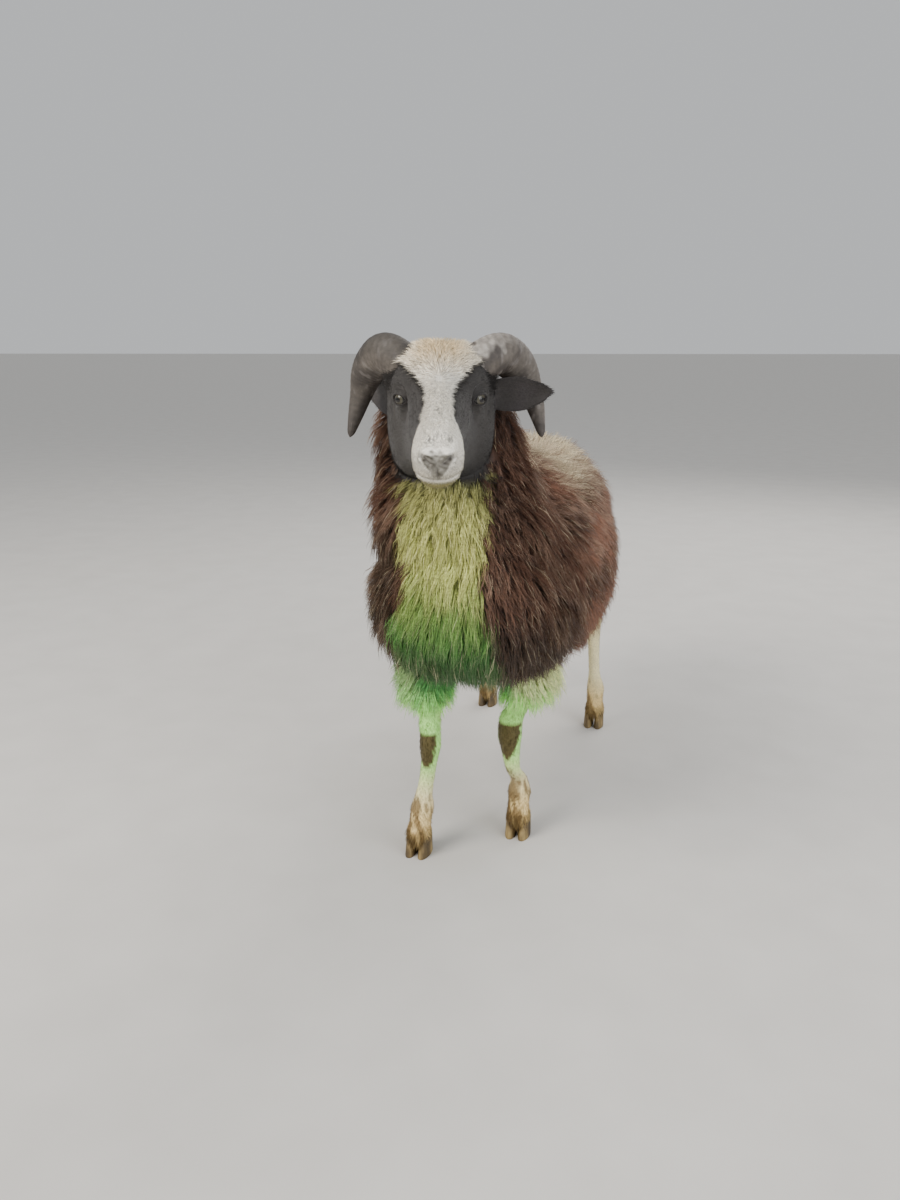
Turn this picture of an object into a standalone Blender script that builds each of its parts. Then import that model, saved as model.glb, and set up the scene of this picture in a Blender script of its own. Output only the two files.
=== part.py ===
"""Jacob sheep, standing still, at life size in metres.

+Y runs from the sheep's nose to its tail, +X to its left and +Z up. The fore feet stand about y = 0 of the
"sheep" empty, and the empty is set back so that the world's origin lies on the floor under the middle of the sheep.
"""

import math

import bmesh
import bpy
import numpy as np
from mathutils import Matrix

# Clearance between two solids that touch
GAP = 0.0004

# Distance from the middle of the fore feet back to the middle of the sheep's length
MIDDLE_Y = 0.2365

# Trunk, over the fleece
BACK_Z = 0.612
BELLY_Z = 0.266
BARREL_HALF = 0.178
CHEST_Y = -0.148
RUMP_Y = 0.664

# Head, in its own frame: nose tip, turn to the sheep's left and slope down of the nose
NOSE = (0.0203, -0.2224, 0.6277)
HEAD_TURN = 16.0
HEAD_SLOPE = 20.0
EYE_SIDE = 0.0445
EYE_BACK = 0.1565
EYE_RISE = 0.012
EYE_RADIUS = 0.0135

# Heights of the joints of a leg
KNEE_Z = 0.174
HOCK_Z = 0.222
FETLOCK_Z = 0.072

# Where the middle of each hoof stands
FORE_FEET = {"left": (0.064, 0.063), "right": (-0.0715, -0.035)}
HIND_FEET = {"left": (0.1195, 0.539), "right": (-0.122, 0.592)}

# A hoof is two claws
CLAW_LENGTH = 0.046
CLAW_WIDTH = 0.0185
CLAW_HEIGHT = 0.036
CLAW_GAP = 0.0030

SIDES = {"left": 1, "right": -1}


def material(name, colour, roughness):
    """A plain Principled material with no metal in it."""
    made = bpy.data.materials.new(name)
    made.use_nodes = True
    shader = made.node_tree.nodes["Principled BSDF"]
    shader.inputs["Base Color"].default_value = (*colour, 1)
    shader.inputs["Roughness"].default_value = roughness
    shader.inputs["Metallic"].default_value = 0
    return made


def through(rows, t):
    """The row at t, from 0 at the first row to 1 at the last, on a smooth curve through all the rows."""
    rows = np.asarray(rows, float)
    at = min(max(t, 0.0), 1.0) * (len(rows) - 1)
    i = min(int(at), len(rows) - 2)
    f = at - i
    before, start, end = rows[max(i - 1, 0)], rows[i], rows[i + 1]
    after = rows[min(i + 2, len(rows) - 1)]
    bend = 2 * before - 5 * start + 4 * end - after
    twist = 3 * start - before - 3 * end + after
    return start + 0.5 * ((end - before) * f + bend * f**2 + twist * f**3)


def oval(middle, side, up, half, rise, fall, squares, count):
    """A ring about a middle, half wide to each side, rise above and fall below.

    squares holds the squareness of the upper and the lower half: 2 is an ellipse, and more is boxier.
    """
    ring = []
    for k in range(count):
        turn = 2 * math.pi * (k + 0.5) / count
        above = math.sin(turn) > 0
        power = 2 / squares[0 if above else 1]
        across = math.copysign(abs(math.cos(turn)) ** power, math.cos(turn)) * half
        height = math.copysign(abs(math.sin(turn)) ** power, math.sin(turn)) * (rise if above else fall)
        ring.append(np.asarray(middle) + np.asarray(side) * across + np.asarray(up) * height)
    return ring


def covered(name, rings, paint, parent):
    """A closed solid whose surface runs over a row of rings, with a low cone on each end."""
    mesh = bpy.data.meshes.new(name)
    bm = bmesh.new()
    loops = [[bm.verts.new(point) for point in ring] for ring in rings]
    for near, far in zip(loops, loops[1:]):
        for k in range(len(near)):
            after = (k + 1) % len(near)
            bm.faces.new((near[k], near[after], far[after], far[k]))
    ends = [bm.faces.new(loops[0]), bm.faces.new(loops[-1])]
    bmesh.ops.poke(bm, faces=ends)
    bmesh.ops.recalc_face_normals(bm, faces=bm.faces)
    if bm.calc_volume(signed=True) < 0:
        bmesh.ops.reverse_faces(bm, faces=bm.faces)
    bmesh.ops.triangulate(bm, faces=bm.faces)
    bm.to_mesh(mesh)
    bm.free()
    mesh.shade_smooth()
    mesh.materials.append(paint)
    made = bpy.data.objects.new(name, mesh)
    bpy.context.scene.collection.objects.link(made)
    made.parent = parent
    return made


def cut_clear(piece, neighbours):
    """Cuts a piece back from its neighbours' own shapes, leaving the clearance between them."""
    for neighbour in neighbours:
        cutter = bpy.data.objects.new("room_for_" + neighbour.name, neighbour.data)
        bpy.context.scene.collection.objects.link(cutter)
        cutter.parent = neighbour.parent
        cutter.hide_render = True
        cutter.display_type = "WIRE"
        swell = cutter.modifiers.new("swell", "DISPLACE")
        swell.strength = GAP
        swell.mid_level = 0
        cut = piece.modifiers.new("room for " + neighbour.name, "BOOLEAN")
        cut.operation = "DIFFERENCE"
        cut.solver = "EXACT"
        cut.object = cutter


def head_axes():
    """Unit vectors of the head: to its left, back along it from nose to poll, and up out of the forehead."""
    turn, slope = math.radians(HEAD_TURN), math.radians(HEAD_SLOPE)
    ahead = np.array((math.sin(turn), -math.cos(turn), 0.0))
    back = -ahead * math.cos(slope) + np.array((0, 0, math.sin(slope)))
    up = ahead * math.sin(slope) + np.array((0, 0, math.cos(slope)))
    return np.cross(back, up), back, up


def on_head(side, back, rise):
    """A place given in the head's own frame, from the nose tip."""
    left, along, up = head_axes()
    return np.array(NOSE) + left * side + along * back + up * rise


def trunk_rings(sides, steps):
    """Rings across the body: y, half width, height of the widest place, top, underside."""
    wide_z = BELLY_Z + 0.40 * (BACK_Z - BELLY_Z)
    rows = [
        (CHEST_Y, 0.10 * BARREL_HALF, wide_z + 0.02, 0.462, 0.400),
        (CHEST_Y + 0.014, 0.46 * BARREL_HALF, wide_z + 0.02, 0.505, 0.366),
        (CHEST_Y + 0.050, 0.70 * BARREL_HALF, wide_z + 0.02, 0.540, 0.320),
        (CHEST_Y + 0.100, 0.82 * BARREL_HALF, wide_z + 0.01, BACK_Z - 0.046, BELLY_Z + 0.026),
        (0.020, 0.90 * BARREL_HALF, wide_z, BACK_Z - 0.022, BELLY_Z + 0.012),
        (0.110, 0.96 * BARREL_HALF, wide_z, BACK_Z, BELLY_Z + 0.002),
        (0.240, BARREL_HALF, wide_z, BACK_Z - 0.006, BELLY_Z - 0.004),
        (0.370, 0.96 * BARREL_HALF, wide_z, BACK_Z - 0.008, BELLY_Z + 0.006),
        (0.470, 0.85 * BARREL_HALF, wide_z + 0.01, BACK_Z - 0.012, BELLY_Z + 0.028),
        (0.550, 0.77 * BARREL_HALF, wide_z + 0.02, BACK_Z - 0.026, BELLY_Z + 0.052),
        (RUMP_Y - 0.052, 0.62 * BARREL_HALF, wide_z + 0.04, BACK_Z - 0.048, BELLY_Z + 0.074),
        (RUMP_Y - 0.014, 0.38 * BARREL_HALF, wide_z + 0.06, BACK_Z - 0.084, BELLY_Z + 0.130),
        (RUMP_Y, 0.10 * BARREL_HALF, wide_z + 0.07, 0.490, 0.440),
    ]
    rings = []
    for step in range(steps + 1):
        y, half, widest, top, under = through(rows, step / steps)
        rise, fall = top - widest, widest - under
        rings.append(oval((0, y, widest), (1, 0, 0), (0, 0, 1), half, rise, fall, (1.95, 2.6), sides))
    return rings


def neck_rings(sides, steps):
    """Level rings down the upright neck: middle x, y, z, half width, reach to the front, reach to the back."""
    rows = [
        (-0.047, 0.035, 0.745, 0.028, 0.022, 0.026),
        (-0.047, 0.032, 0.731, 0.068, 0.042, 0.060),
        (-0.048, 0.030, 0.700, 0.093, 0.047, 0.084),
        (-0.046, 0.030, 0.660, 0.108, 0.056, 0.098),
        (-0.038, 0.028, 0.610, 0.119, 0.078, 0.122),
        (-0.024, 0.026, 0.550, 0.130, 0.128, 0.152),
        (-0.010, 0.030, 0.490, 0.140, 0.158, 0.150),
        (0.000, 0.040, 0.430, 0.125, 0.145, 0.120),
        (0.000, 0.050, 0.390, 0.080, 0.090, 0.080),
    ]
    rings = []
    for step in range(steps + 1):
        x, y, z, half, front, behind = through(rows, step / steps)
        rings.append(oval((x, y, z), (-1, 0, 0), (0, 1, 0), half, behind, front, (2.1, 2.2), sides))
    return rings


def head_rings(sides, steps):
    """Rings along the head: distance back from the nose, half width, rise, fall, squareness above and below."""
    rows = [
        (0.000, 0.010, 0.006, 0.014, 2.0, 2.0),
        (0.005, 0.021, 0.013, 0.029, 2.2, 2.2),
        (0.018, 0.029, 0.021, 0.043, 2.3, 2.4),
        (0.036, 0.0315, 0.028, 0.047, 2.3, 2.4),
        (0.060, 0.0325, 0.034, 0.052, 2.2, 2.3),
        (0.090, 0.038, 0.041, 0.063, 2.2, 2.5),
        (0.120, 0.0435, 0.049, 0.077, 2.4, 2.8),
        (0.148, 0.051, 0.058, 0.096, 2.6, 3.5),
        (0.172, 0.065, 0.066, 0.114, 2.8, 4.4),
        (0.197, 0.073, 0.070, 0.118, 2.8, 4.4),
        (0.222, 0.063, 0.063, 0.088, 2.4, 2.6),
        (0.242, 0.040, 0.045, 0.055, 2.1, 2.1),
        (0.252, 0.014, 0.020, 0.020, 2.0, 2.0),
    ]
    left, _, up = head_axes()
    rings = []
    for step in range(steps + 1):
        back, half, rise, fall, *squares = through(rows, step / steps)
        rings.append(oval(on_head(0, back, 0), left, up, half, rise, fall, squares, sides))
    return rings


# Swellings of the head: side, back and rise of the middle, reach, height
HEAD_SWELLINGS = {
    "brow": (0.050, 0.152, 0.036, 0.014, 0.0060),
    "eye hollow": (0.044, 0.126, 0.002, 0.016, -0.0045),
    "cheek": (0.066, 0.180, -0.050, 0.028, 0.0020),
    "bridge": (0.000, 0.085, 0.045, 0.022, 0.0025),
    "nostril": (0.014, 0.007, 0.010, 0.009, 0.0025),
    "mouth corner": (0.032, 0.045, -0.020, 0.012, -0.0030),
    "chin": (0.000, 0.028, -0.036, 0.016, 0.0030),
}


def swollen(rings):
    """Moves the head's points out from its middle line where bone and muscle stand out, and in at the hollows."""
    left, back, up = head_axes()
    moved = []
    for ring in rings:
        middle = sum(ring) / len(ring)
        shifted = []
        for point in ring:
            place = point - np.array(NOSE)
            side, along, rise = abs(place @ left), place @ back, place @ up
            outward = (point - middle) / max(np.linalg.norm(point - middle), 1e-6)
            for at_side, at_back, at_rise, reach, height in HEAD_SWELLINGS.values():
                away = (side - at_side) ** 2 + (along - at_back) ** 2 + (rise - at_rise) ** 2
                point = point + outward * height * math.exp(-away / (2 * reach**2))
            shifted.append(point)
        moved.append(shifted)
    return moved


def tube_rings(rows, sides, steps, upward):
    """Rings square to a bent line: middle x, y, z, half width across, half width along the upward direction."""
    rings = []
    upward = np.asarray(upward, float)
    for step in range(steps + 1):
        t = step / steps
        x, y, z, half, rise = through(rows, t)
        ahead = through(rows, min(t + 0.01, 1))[:3] - through(rows, max(t - 0.01, 0))[:3]
        ahead /= np.linalg.norm(ahead)
        side = np.cross(ahead, upward)
        side /= np.linalg.norm(side)
        up = np.cross(side, ahead)
        rings.append(oval((x, y, z), side, up, half, rise, rise, (2, 2), sides))
    return rings


def horn_rings(side, sides, steps):
    """A horn that leaves the side of the poll, curls out, back and down, and ends beside the cheek."""
    spread = {"left": (0.036, 0.058, 0.080, 0.0985, 0.113, 0.1245, 0.133, 0.1385),
              "right": (0.036, 0.055, 0.074, 0.090, 0.1025, 0.1105, 0.119, 0.126)}[side]
    rows = []
    backs = (0.188, 0.204, 0.222, 0.236, 0.242, 0.236, 0.220, 0.203)
    rises = (0.036, 0.047, 0.047, 0.030, 0.008, -0.016, -0.042, -0.064)
    halves = (0.024, 0.027, 0.028, 0.0268, 0.0222, 0.0160, 0.0102, 0.0042)
    for out, back, rise, half in zip(spread, backs, rises, halves):
        rows.append((*on_head(SIDES[side] * out, back, rise), half, 0.88 * half))
    return tube_rings(rows, sides, steps, head_axes()[1])


def ear_rings(side, sides, steps):
    """A leaf-shaped ear, from its root behind the eye to its tip: the left held out, the right laid back."""
    root, middle, tip = {
        "left": ((0.056, 0.203, -0.002), (0.104, 0.196, 0.003), (0.147, 0.188, 0.009)),
        "right": ((-0.054, 0.202, -0.008), (-0.080, 0.248, -0.0235), (-0.108, 0.292, -0.0300)),
    }[side]
    rows = []
    halves = (0.0180, 0.0220, 0.0245, 0.0250, 0.0205, 0.0125, 0.0030)
    thicknesses = (0.0070, 0.0060, 0.0048, 0.0042, 0.0036, 0.0030, 0.0015)
    for k, (half, thick) in enumerate(zip(halves, thicknesses)):
        place = through((root, middle, tip), k / (len(halves) - 1))
        rows.append((*on_head(*place), thick, half))
    return tube_rings(rows, sides, steps, head_axes()[2])


def foreleg_rings(side, sides, steps):
    """Level rings down a foreleg: middle x, y, z, half width, half depth."""
    out = SIDES[side]
    x, y = FORE_FEET[side]
    knee_x, knee_y = {"left": (0.049, 0.058), "right": (-0.0575, -0.016)}[side]
    elbow_y = {"left": 0.072, "right": 0.042}[side]
    slim = {"left": 1.0, "right": 0.87}[side]
    rows = [
        (0.078 * out, elbow_y + 0.010, 0.385, 0.020, 0.025),
        (0.077 * out, elbow_y + 0.008, 0.372, 0.044, 0.056),
        (0.075 * out, elbow_y, 0.320, 0.050, 0.060),
        (0.077 * out, elbow_y - 0.15 * (elbow_y - knee_y), 0.283, 0.053, 0.056),
        (0.076 * out, elbow_y - 0.35 * (elbow_y - knee_y), 0.256, 0.044, 0.047),
        (0.065 * out, elbow_y - 0.65 * (elbow_y - knee_y), 0.228, 0.0270, 0.0310),
        (knee_x + 0.002 * out, knee_y + 0.005, 0.203, 0.0200 * slim, 0.0225 * slim),
        (knee_x, knee_y, KNEE_Z, 0.0195 * slim, 0.0205 * slim),
        (knee_x + 0.002 * out, knee_y, KNEE_Z - 0.026, 0.0155 * slim, 0.0170 * slim),
        (knee_x + 0.006 * out, knee_y, 0.118, 0.0125, 0.0140),
        (x - 0.004 * out, y + 0.016, 0.092, 0.0140, 0.0155),
        (x - 0.002 * out, y + 0.014, FETLOCK_Z, 0.0185, 0.0195),
        (x - 0.001 * out, y + 0.007, 0.053, 0.0175, 0.0185),
        (x, y + 0.002, 0.038, 0.0185, 0.0200),
        (x, y - 0.002, 0.026, 0.0160, 0.0170),
    ]
    return leg_rings(rows, sides, steps)


def hindleg_rings(side, sides, steps):
    """Level rings down a hind leg, from the top of the thigh: middle x, y, z, half width, half depth."""
    out = SIDES[side]
    x, y = HIND_FEET[side]
    hock_y = y + 0.037
    rows = [
        (0.088 * out, 0.530, 0.520, 0.018, 0.030),
        (0.084 * out, 0.528, 0.505, 0.042, 0.062),
        (0.086 * out, 0.525, 0.462, 0.055, 0.086),
        (0.091 * out, 0.525, 0.415, 0.058, 0.088),
        (0.096 * out, 0.530, 0.365, 0.053, 0.078),
        (0.100 * out, 0.55 * hock_y + 0.226, 0.320, 0.043, 0.057),
        (0.101 * out, hock_y - 0.022, 0.282, 0.029, 0.039),
        (0.102 * out, hock_y - 0.006, 0.250, 0.0190, 0.0275),
        (0.104 * out, hock_y, HOCK_Z, 0.0180, 0.0250),
        (0.106 * out, hock_y, 0.192, 0.0150, 0.0195),
        (0.110 * out, hock_y - 0.008, 0.150, 0.0122, 0.0150),
        (0.114 * out, hock_y - 0.018, 0.108, 0.0125, 0.0148),
        (x - 0.002 * out, y + 0.020, FETLOCK_Z + 0.006, 0.0180, 0.0195),
        (x - 0.001 * out, y + 0.010, 0.055, 0.0170, 0.0185),
        (x, y + 0.004, 0.039, 0.0185, 0.0195),
        (x, y, 0.026, 0.0160, 0.0170),
    ]
    return leg_rings(rows, sides, steps)


def leg_rings(rows, sides, steps):
    rings = []
    for step in range(steps + 1):
        x, y, z, half, depth = through(rows, step / steps)
        rings.append(oval((x, y, z), (-1, 0, 0), (0, 1, 0), half, depth, depth, (2.1, 2.1), sides))
    return rings


def tail_rings(sides, steps):
    """A woolly tail that hangs down the rump: middle x, y, z, half width, half depth."""
    rows = [
        (0, RUMP_Y - 0.050, 0.545, 0.018, 0.012),
        (0, RUMP_Y - 0.024, 0.530, 0.034, 0.022),
        (0, RUMP_Y + 0.002, 0.490, 0.042, 0.026),
        (0, RUMP_Y + 0.010, 0.430, 0.042, 0.026),
        (0, RUMP_Y + 0.006, 0.370, 0.036, 0.022),
        (0, RUMP_Y - 0.002, 0.315, 0.027, 0.017),
        (0, RUMP_Y - 0.008, 0.278, 0.010, 0.007),
    ]
    return leg_rings(rows, sides, steps)


def claw_rings(x, y, out, sides):
    """Level rings of one claw, flat on the floor: a round outer wall, a flatter inner one and a toe that slopes."""
    rings = []
    for share, length, width in ((0, 1.0, 1.0), (0.35, 0.88, 0.97), (0.7, 0.74, 0.92), (1.0, 0.60, 0.80)):
        back = 0.5 * (1 - length) * CLAW_LENGTH * 0.7
        half, wall = 0.5 * length * CLAW_LENGTH, 0.5 * width * CLAW_WIDTH
        middle = (x, y + back, share * CLAW_HEIGHT)
        ring = oval(middle, (0, -out, 0), (out, 0, 0), half, wall, wall, (2.2, 4.0), sides)
        for point in ring:
            toe = max(0.0, (y + back - point[1]) / half)
            point[0] = x + (point[0] - x) * (1 - 0.35 * toe**2)
        rings.append(ring)
    return rings


def dewclaw_rings(x, y, z, out, sides):
    """A small horny stud behind the fetlock, pointing down and back."""
    rows = [
        (x, y - 0.007, z + 0.006, 0.0050, 0.0050),
        (x + 0.001 * out, y + 0.003, z + 0.001, 0.0048, 0.0048),
        (x + 0.002 * out, y + 0.007, z - 0.007, 0.0030, 0.0030),
    ]
    return tube_rings(rows, sides, 2, (1, 0, 0))


def ball(name, middle, radius, paint, parent):
    """An eyeball, closed and smooth."""
    mesh = bpy.data.meshes.new(name)
    bm = bmesh.new()
    bmesh.ops.create_uvsphere(bm, u_segments=12, v_segments=8, radius=radius)
    bmesh.ops.triangulate(bm, faces=bm.faces)
    bm.to_mesh(mesh)
    bm.free()
    mesh.transform(Matrix.Translation(tuple(middle)))
    mesh.shade_smooth()
    mesh.materials.append(paint)
    made = bpy.data.objects.new(name, mesh)
    bpy.context.scene.collection.objects.link(made)
    made.parent = parent
    return made


def feet(kind, places, legs, horn, parent):
    """Two claws and two dewclaws for each leg of a pair; the leg stops short of them."""
    for side, (x, y) in places.items():
        leg = legs[side]
        claws = []
        for where, out in (("outer", SIDES[side]), ("inner", -SIDES[side])):
            name = f"claw_{kind}_{side}_{where}"
            middle = x + out * 0.5 * (CLAW_WIDTH + CLAW_GAP)
            claws.append(covered(name, claw_rings(middle, y, out, 10), horn, parent))
            stud_y = y + (0.028 if kind == "fore" else 0.034)
            stud = covered(f"dewclaw_{kind}_{side}_{where}",
                           dewclaw_rings(x + 0.0078 * out, stud_y, 0.062, out, 5), horn, parent)
            cut_clear(stud, [leg])
        cut_clear(leg, claws)


def main():
    for old in list(bpy.data.objects):
        bpy.data.objects.remove(old)
    sheep = bpy.data.objects.new("sheep", None)
    sheep.location = (0, -MIDDLE_Y, 0)
    bpy.context.scene.collection.objects.link(sheep)

    fleece = material("dark fleece", (0.085, 0.045, 0.034), 0.95)
    face = material("face fur", (0.075, 0.065, 0.065), 0.85)
    pale = material("pale leg fur", (0.72, 0.68, 0.58), 0.85)
    horn = material("dark horn", (0.060, 0.055, 0.052), 0.55)
    hoof = material("hoof", (0.20, 0.13, 0.075), 0.60)
    amber = material("eye", (0.16, 0.11, 0.045), 0.10)

    trunk = covered("trunk", trunk_rings(24, 22), fleece, sheep)
    neck = covered("neck", neck_rings(18, 11), fleece, sheep)
    head = covered("head", swollen(head_rings(26, 26)), face, sheep)
    tail = covered("tail", tail_rings(10, 8), fleece, sheep)
    forelegs = {side: covered(f"foreleg_{side}", foreleg_rings(side, 12, 19), pale, sheep) for side in SIDES}
    hindlegs = {side: covered(f"hindleg_{side}", hindleg_rings(side, 12, 20), pale, sheep) for side in SIDES}

    horns, ears, eyes = [], [], []
    for side, out in SIDES.items():
        horns.append(covered(f"horn_{side}", horn_rings(side, 12, 13), horn, sheep))
        ears.append(covered(f"ear_{side}", ear_rings(side, 10, 8), face, sheep))
        eyes.append(ball(f"eye_{side}", on_head(out * EYE_SIDE, EYE_BACK, EYE_RISE), EYE_RADIUS, amber, sheep))

    feet("fore", FORE_FEET, forelegs, hoof, sheep)
    feet("hind", HIND_FEET, hindlegs, hoof, sheep)

    cut_clear(trunk, hindlegs.values())
    cut_clear(neck, [trunk, head])
    cut_clear(tail, [trunk])
    for leg in forelegs.values():
        cut_clear(leg, [trunk, neck])
    for piece in horns + ears:
        cut_clear(piece, [head, neck])
    cut_clear(head, eyes)


main()
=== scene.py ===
# %% [markdown]
# # A Jacob sheep in its coat
# This lesson dresses a plain, packed sheep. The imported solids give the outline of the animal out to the
# tips of its wool; here they are replaced by one skin, and the skin grows a coat of solid mesh locks.
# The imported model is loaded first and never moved, so that all that follows has a fixed frame to sit on.

import math

import bmesh
import bpy
import numpy as np
from mathutils import Matrix, Vector


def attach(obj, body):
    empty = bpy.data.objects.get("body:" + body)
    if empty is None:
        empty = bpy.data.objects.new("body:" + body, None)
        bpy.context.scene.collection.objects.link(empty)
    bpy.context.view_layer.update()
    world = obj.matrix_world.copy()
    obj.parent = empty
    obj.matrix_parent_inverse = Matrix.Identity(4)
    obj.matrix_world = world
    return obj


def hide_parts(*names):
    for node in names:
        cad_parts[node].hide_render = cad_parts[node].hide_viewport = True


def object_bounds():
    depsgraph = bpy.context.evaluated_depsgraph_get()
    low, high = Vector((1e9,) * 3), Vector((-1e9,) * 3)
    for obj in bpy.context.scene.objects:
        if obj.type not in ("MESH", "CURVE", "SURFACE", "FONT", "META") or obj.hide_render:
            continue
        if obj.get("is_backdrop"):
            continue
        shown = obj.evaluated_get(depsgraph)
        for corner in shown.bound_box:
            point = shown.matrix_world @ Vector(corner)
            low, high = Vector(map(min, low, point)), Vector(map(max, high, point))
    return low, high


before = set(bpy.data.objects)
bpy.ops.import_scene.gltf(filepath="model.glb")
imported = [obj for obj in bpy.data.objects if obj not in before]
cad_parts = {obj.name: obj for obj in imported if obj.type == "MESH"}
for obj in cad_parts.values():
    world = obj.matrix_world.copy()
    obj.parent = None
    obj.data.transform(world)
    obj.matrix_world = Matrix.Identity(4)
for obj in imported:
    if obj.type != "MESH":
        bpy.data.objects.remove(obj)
cad_low, cad_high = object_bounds()
print("nodes:", len(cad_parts), "size in mm:", [round(1000 * d) for d in cad_high - cad_low])

# %% [markdown]
# ## Camera
# The camera comes first, because every choice of size and detail is judged through it. It stands in front
# of the sheep, about level with its horns and a little to its left, and tips down by 15 degrees. A 27 mm
# lens on a 36 mm sensor gives the wide view of a phone held upright.

# %% Camera
LENS_MM, SENSOR_MM = 27, 36
CAMERA_PLACE = (0.3334, -1.4519, 0.75)
CAMERA_TILT, CAMERA_TURN = math.radians(90 - 15.4), math.radians(16.7)


def put(name, data):
    """A new object with this data, in the scene."""
    made = bpy.data.objects.new(name, data)
    bpy.context.scene.collection.objects.link(made)
    return made


camera_data = bpy.data.cameras.new("photo camera")
camera_data.lens, camera_data.sensor_width = LENS_MM, SENSOR_MM
camera = put("photo camera", camera_data)
camera.location = CAMERA_PLACE
camera.rotation_euler = (CAMERA_TILT, 0, CAMERA_TURN)
bpy.context.scene.camera = camera
print("camera stands", round(camera.location.length, 2), "m from the middle of the floor")

# %% [markdown]
# ## Floor and light
# A real studio has a sweep of pale paper and a few large lamps. A grid serves as the paper, with a faint
# grain in its colour. Large area lights give soft shadows; the strongest is high on the left of the view,
# and weaker ones light the other side and the back, so that dark wool keeps its shape.

# %% Floor and light
FLOOR_REACH = 400


def shader_of(material):
    return material.node_tree.nodes["Principled BSDF"]


def new_material(name, roughness, settings=()):
    """A Principled material without metal. The settings are pairs of a socket's name and a number."""
    made = bpy.data.materials.new(name)
    made.use_nodes = True
    for socket, value in (("Roughness", roughness), ("Metallic", 0), *settings):
        shader_of(made).inputs[socket].default_value = value
    return made


def new_node(material, kind, settings=()):
    node = material.node_tree.nodes.new("ShaderNode" + kind)
    for socket, value in settings:
        node.inputs[socket].default_value = value
    return node


def wire(material, output, entry):
    material.node_tree.links.new(output, entry)


def add_noise(material, scale, detail=4, stretch=(1, 1, 1)):
    """Noise on the piece's own Object coordinates."""
    place, turn = new_node(material, "TexCoord"), new_node(material, "Mapping", [("Scale", stretch)])
    noise = new_node(material, "TexNoise", [("Scale", scale), ("Detail", detail)])
    wire(material, place.outputs["Object"], turn.inputs["Vector"])
    wire(material, turn.outputs["Vector"], noise.inputs["Vector"])
    return noise.outputs["Fac"]


def add_ramp(material, source, stops):
    """A colour ramp over a number, from pairs of place and colour."""
    ramp = new_node(material, "ValToRGB")
    elements = ramp.color_ramp.elements
    while len(elements) < len(stops):
        elements.new(0.5)
    for element, (place, colour) in zip(elements, stops):
        element.position = place
        element.color = (*colour, 1)
    wire(material, source, ramp.inputs["Fac"])
    return ramp.outputs["Color"]


def add_bump(material, source, strength, distance):
    bump = new_node(material, "Bump", [("Strength", strength), ("Distance", distance)])
    wire(material, source, bump.inputs["Height"])
    wire(material, bump.outputs["Normal"], shader_of(material).inputs["Normal"])


paper = new_material("pale paper", 0.9)
tint = add_ramp(paper, add_noise(paper, 9), [(0.3, (0.62, 0.60, 0.57)), (0.7, (0.66, 0.64, 0.61))])
wire(paper, tint, shader_of(paper).inputs["Base Color"])


def mesh_from(name, bm):
    """A mesh from a bmesh, which is freed."""
    mesh = bpy.data.meshes.new(name)
    bm.to_mesh(mesh)
    bm.free()
    return mesh


bm = bmesh.new()
bmesh.ops.create_grid(bm, x_segments=2, y_segments=2, size=FLOOR_REACH)
floor = put("floor", mesh_from("floor", bm))
floor.data.materials.append(paper)
floor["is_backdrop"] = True


def lamp(name, place, aim, size, power, colour):
    data = bpy.data.lights.new(name, "AREA")
    data.size, data.energy, data.color = size, power, colour
    made = put(name, data)
    made.location = place
    made.rotation_euler = (Vector(aim) - Vector(place)).to_track_quat("-Z", "Y").to_euler()


lamp("key", (-1.9, -2.3, 2.7), (0, -0.1, 0.4), 1.8, 125, (1.0, 0.95, 0.88))
lamp("fill", (2.6, -1.6, 1.6), (0, 0, 0.4), 2.4, 58, (0.95, 0.97, 1.0))
lamp("back", (0.8, 2.6, 2.6), (0, 0.1, 0.4), 2.0, 60, (1.0, 0.97, 0.93))

sky = bpy.data.worlds.new("studio")
sky.use_nodes = True
backdrop = sky.node_tree.nodes["Background"]
backdrop.inputs["Color"].default_value = (0.86, 0.88, 0.90, 1)
backdrop.inputs["Strength"].default_value = 0.68
bpy.context.scene.world = sky

# %% [markdown]
# ## Measures
# These are the animal's driving sizes in metres, the same ones that shaped its solids. They are counted
# from the middle of the fore feet, with +Y to the tail and +X to its left, and every finished mesh is
# moved back by `MIDDLE_Y` so that the world's origin lies under the middle of the sheep. The head has a
# frame of its own, with its origin on the nose tip: side to its left, back towards the poll, rise out of
# the forehead.

# %% Measures
MIDDLE_Y = 0.2365
BACK_Z, BELLY_Z, BARREL_HALF = 0.612, 0.266, 0.178
CHEST_Y, RUMP_Y = -0.148, 0.664
NOSE = np.array((0.0203, -0.2224, 0.6277))
HEAD_TURN, HEAD_SLOPE = math.radians(16), math.radians(20)
KNEE_Z, HOCK_Z, FETLOCK_Z = 0.174, 0.222, 0.072
FORE_FEET = {"left": (0.064, 0.063), "right": (-0.0715, -0.035)}
HIND_FEET = {"left": (0.1195, 0.539), "right": (-0.122, 0.592)}
CLAW_LENGTH, CLAW_WIDTH, CLAW_HEIGHT, CLAW_GAP = 0.046, 0.0185, 0.036, 0.003
SIDES = {"left": 1, "right": -1}

# How deep the coat lies over the skin
WOOL_DEPTH = 0.022
TAIL_DEPTH = 0.011
FUR_DEPTH = 0.0022
SHANK_DEPTH = 0.0014

ahead = np.array((math.sin(HEAD_TURN), -math.cos(HEAD_TURN), 0))
upright = np.array((0, 0, 1.0))
head_back = -ahead * math.cos(HEAD_SLOPE) + upright * math.sin(HEAD_SLOPE)
head_up = ahead * math.sin(HEAD_SLOPE) + upright * math.cos(HEAD_SLOPE)
HEAD = np.array((np.cross(head_back, head_up), head_back, head_up))


def from_head(places):
    """Places in the head's frame, given in the sheep's."""
    return NOSE + np.asarray(places) @ HEAD


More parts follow.
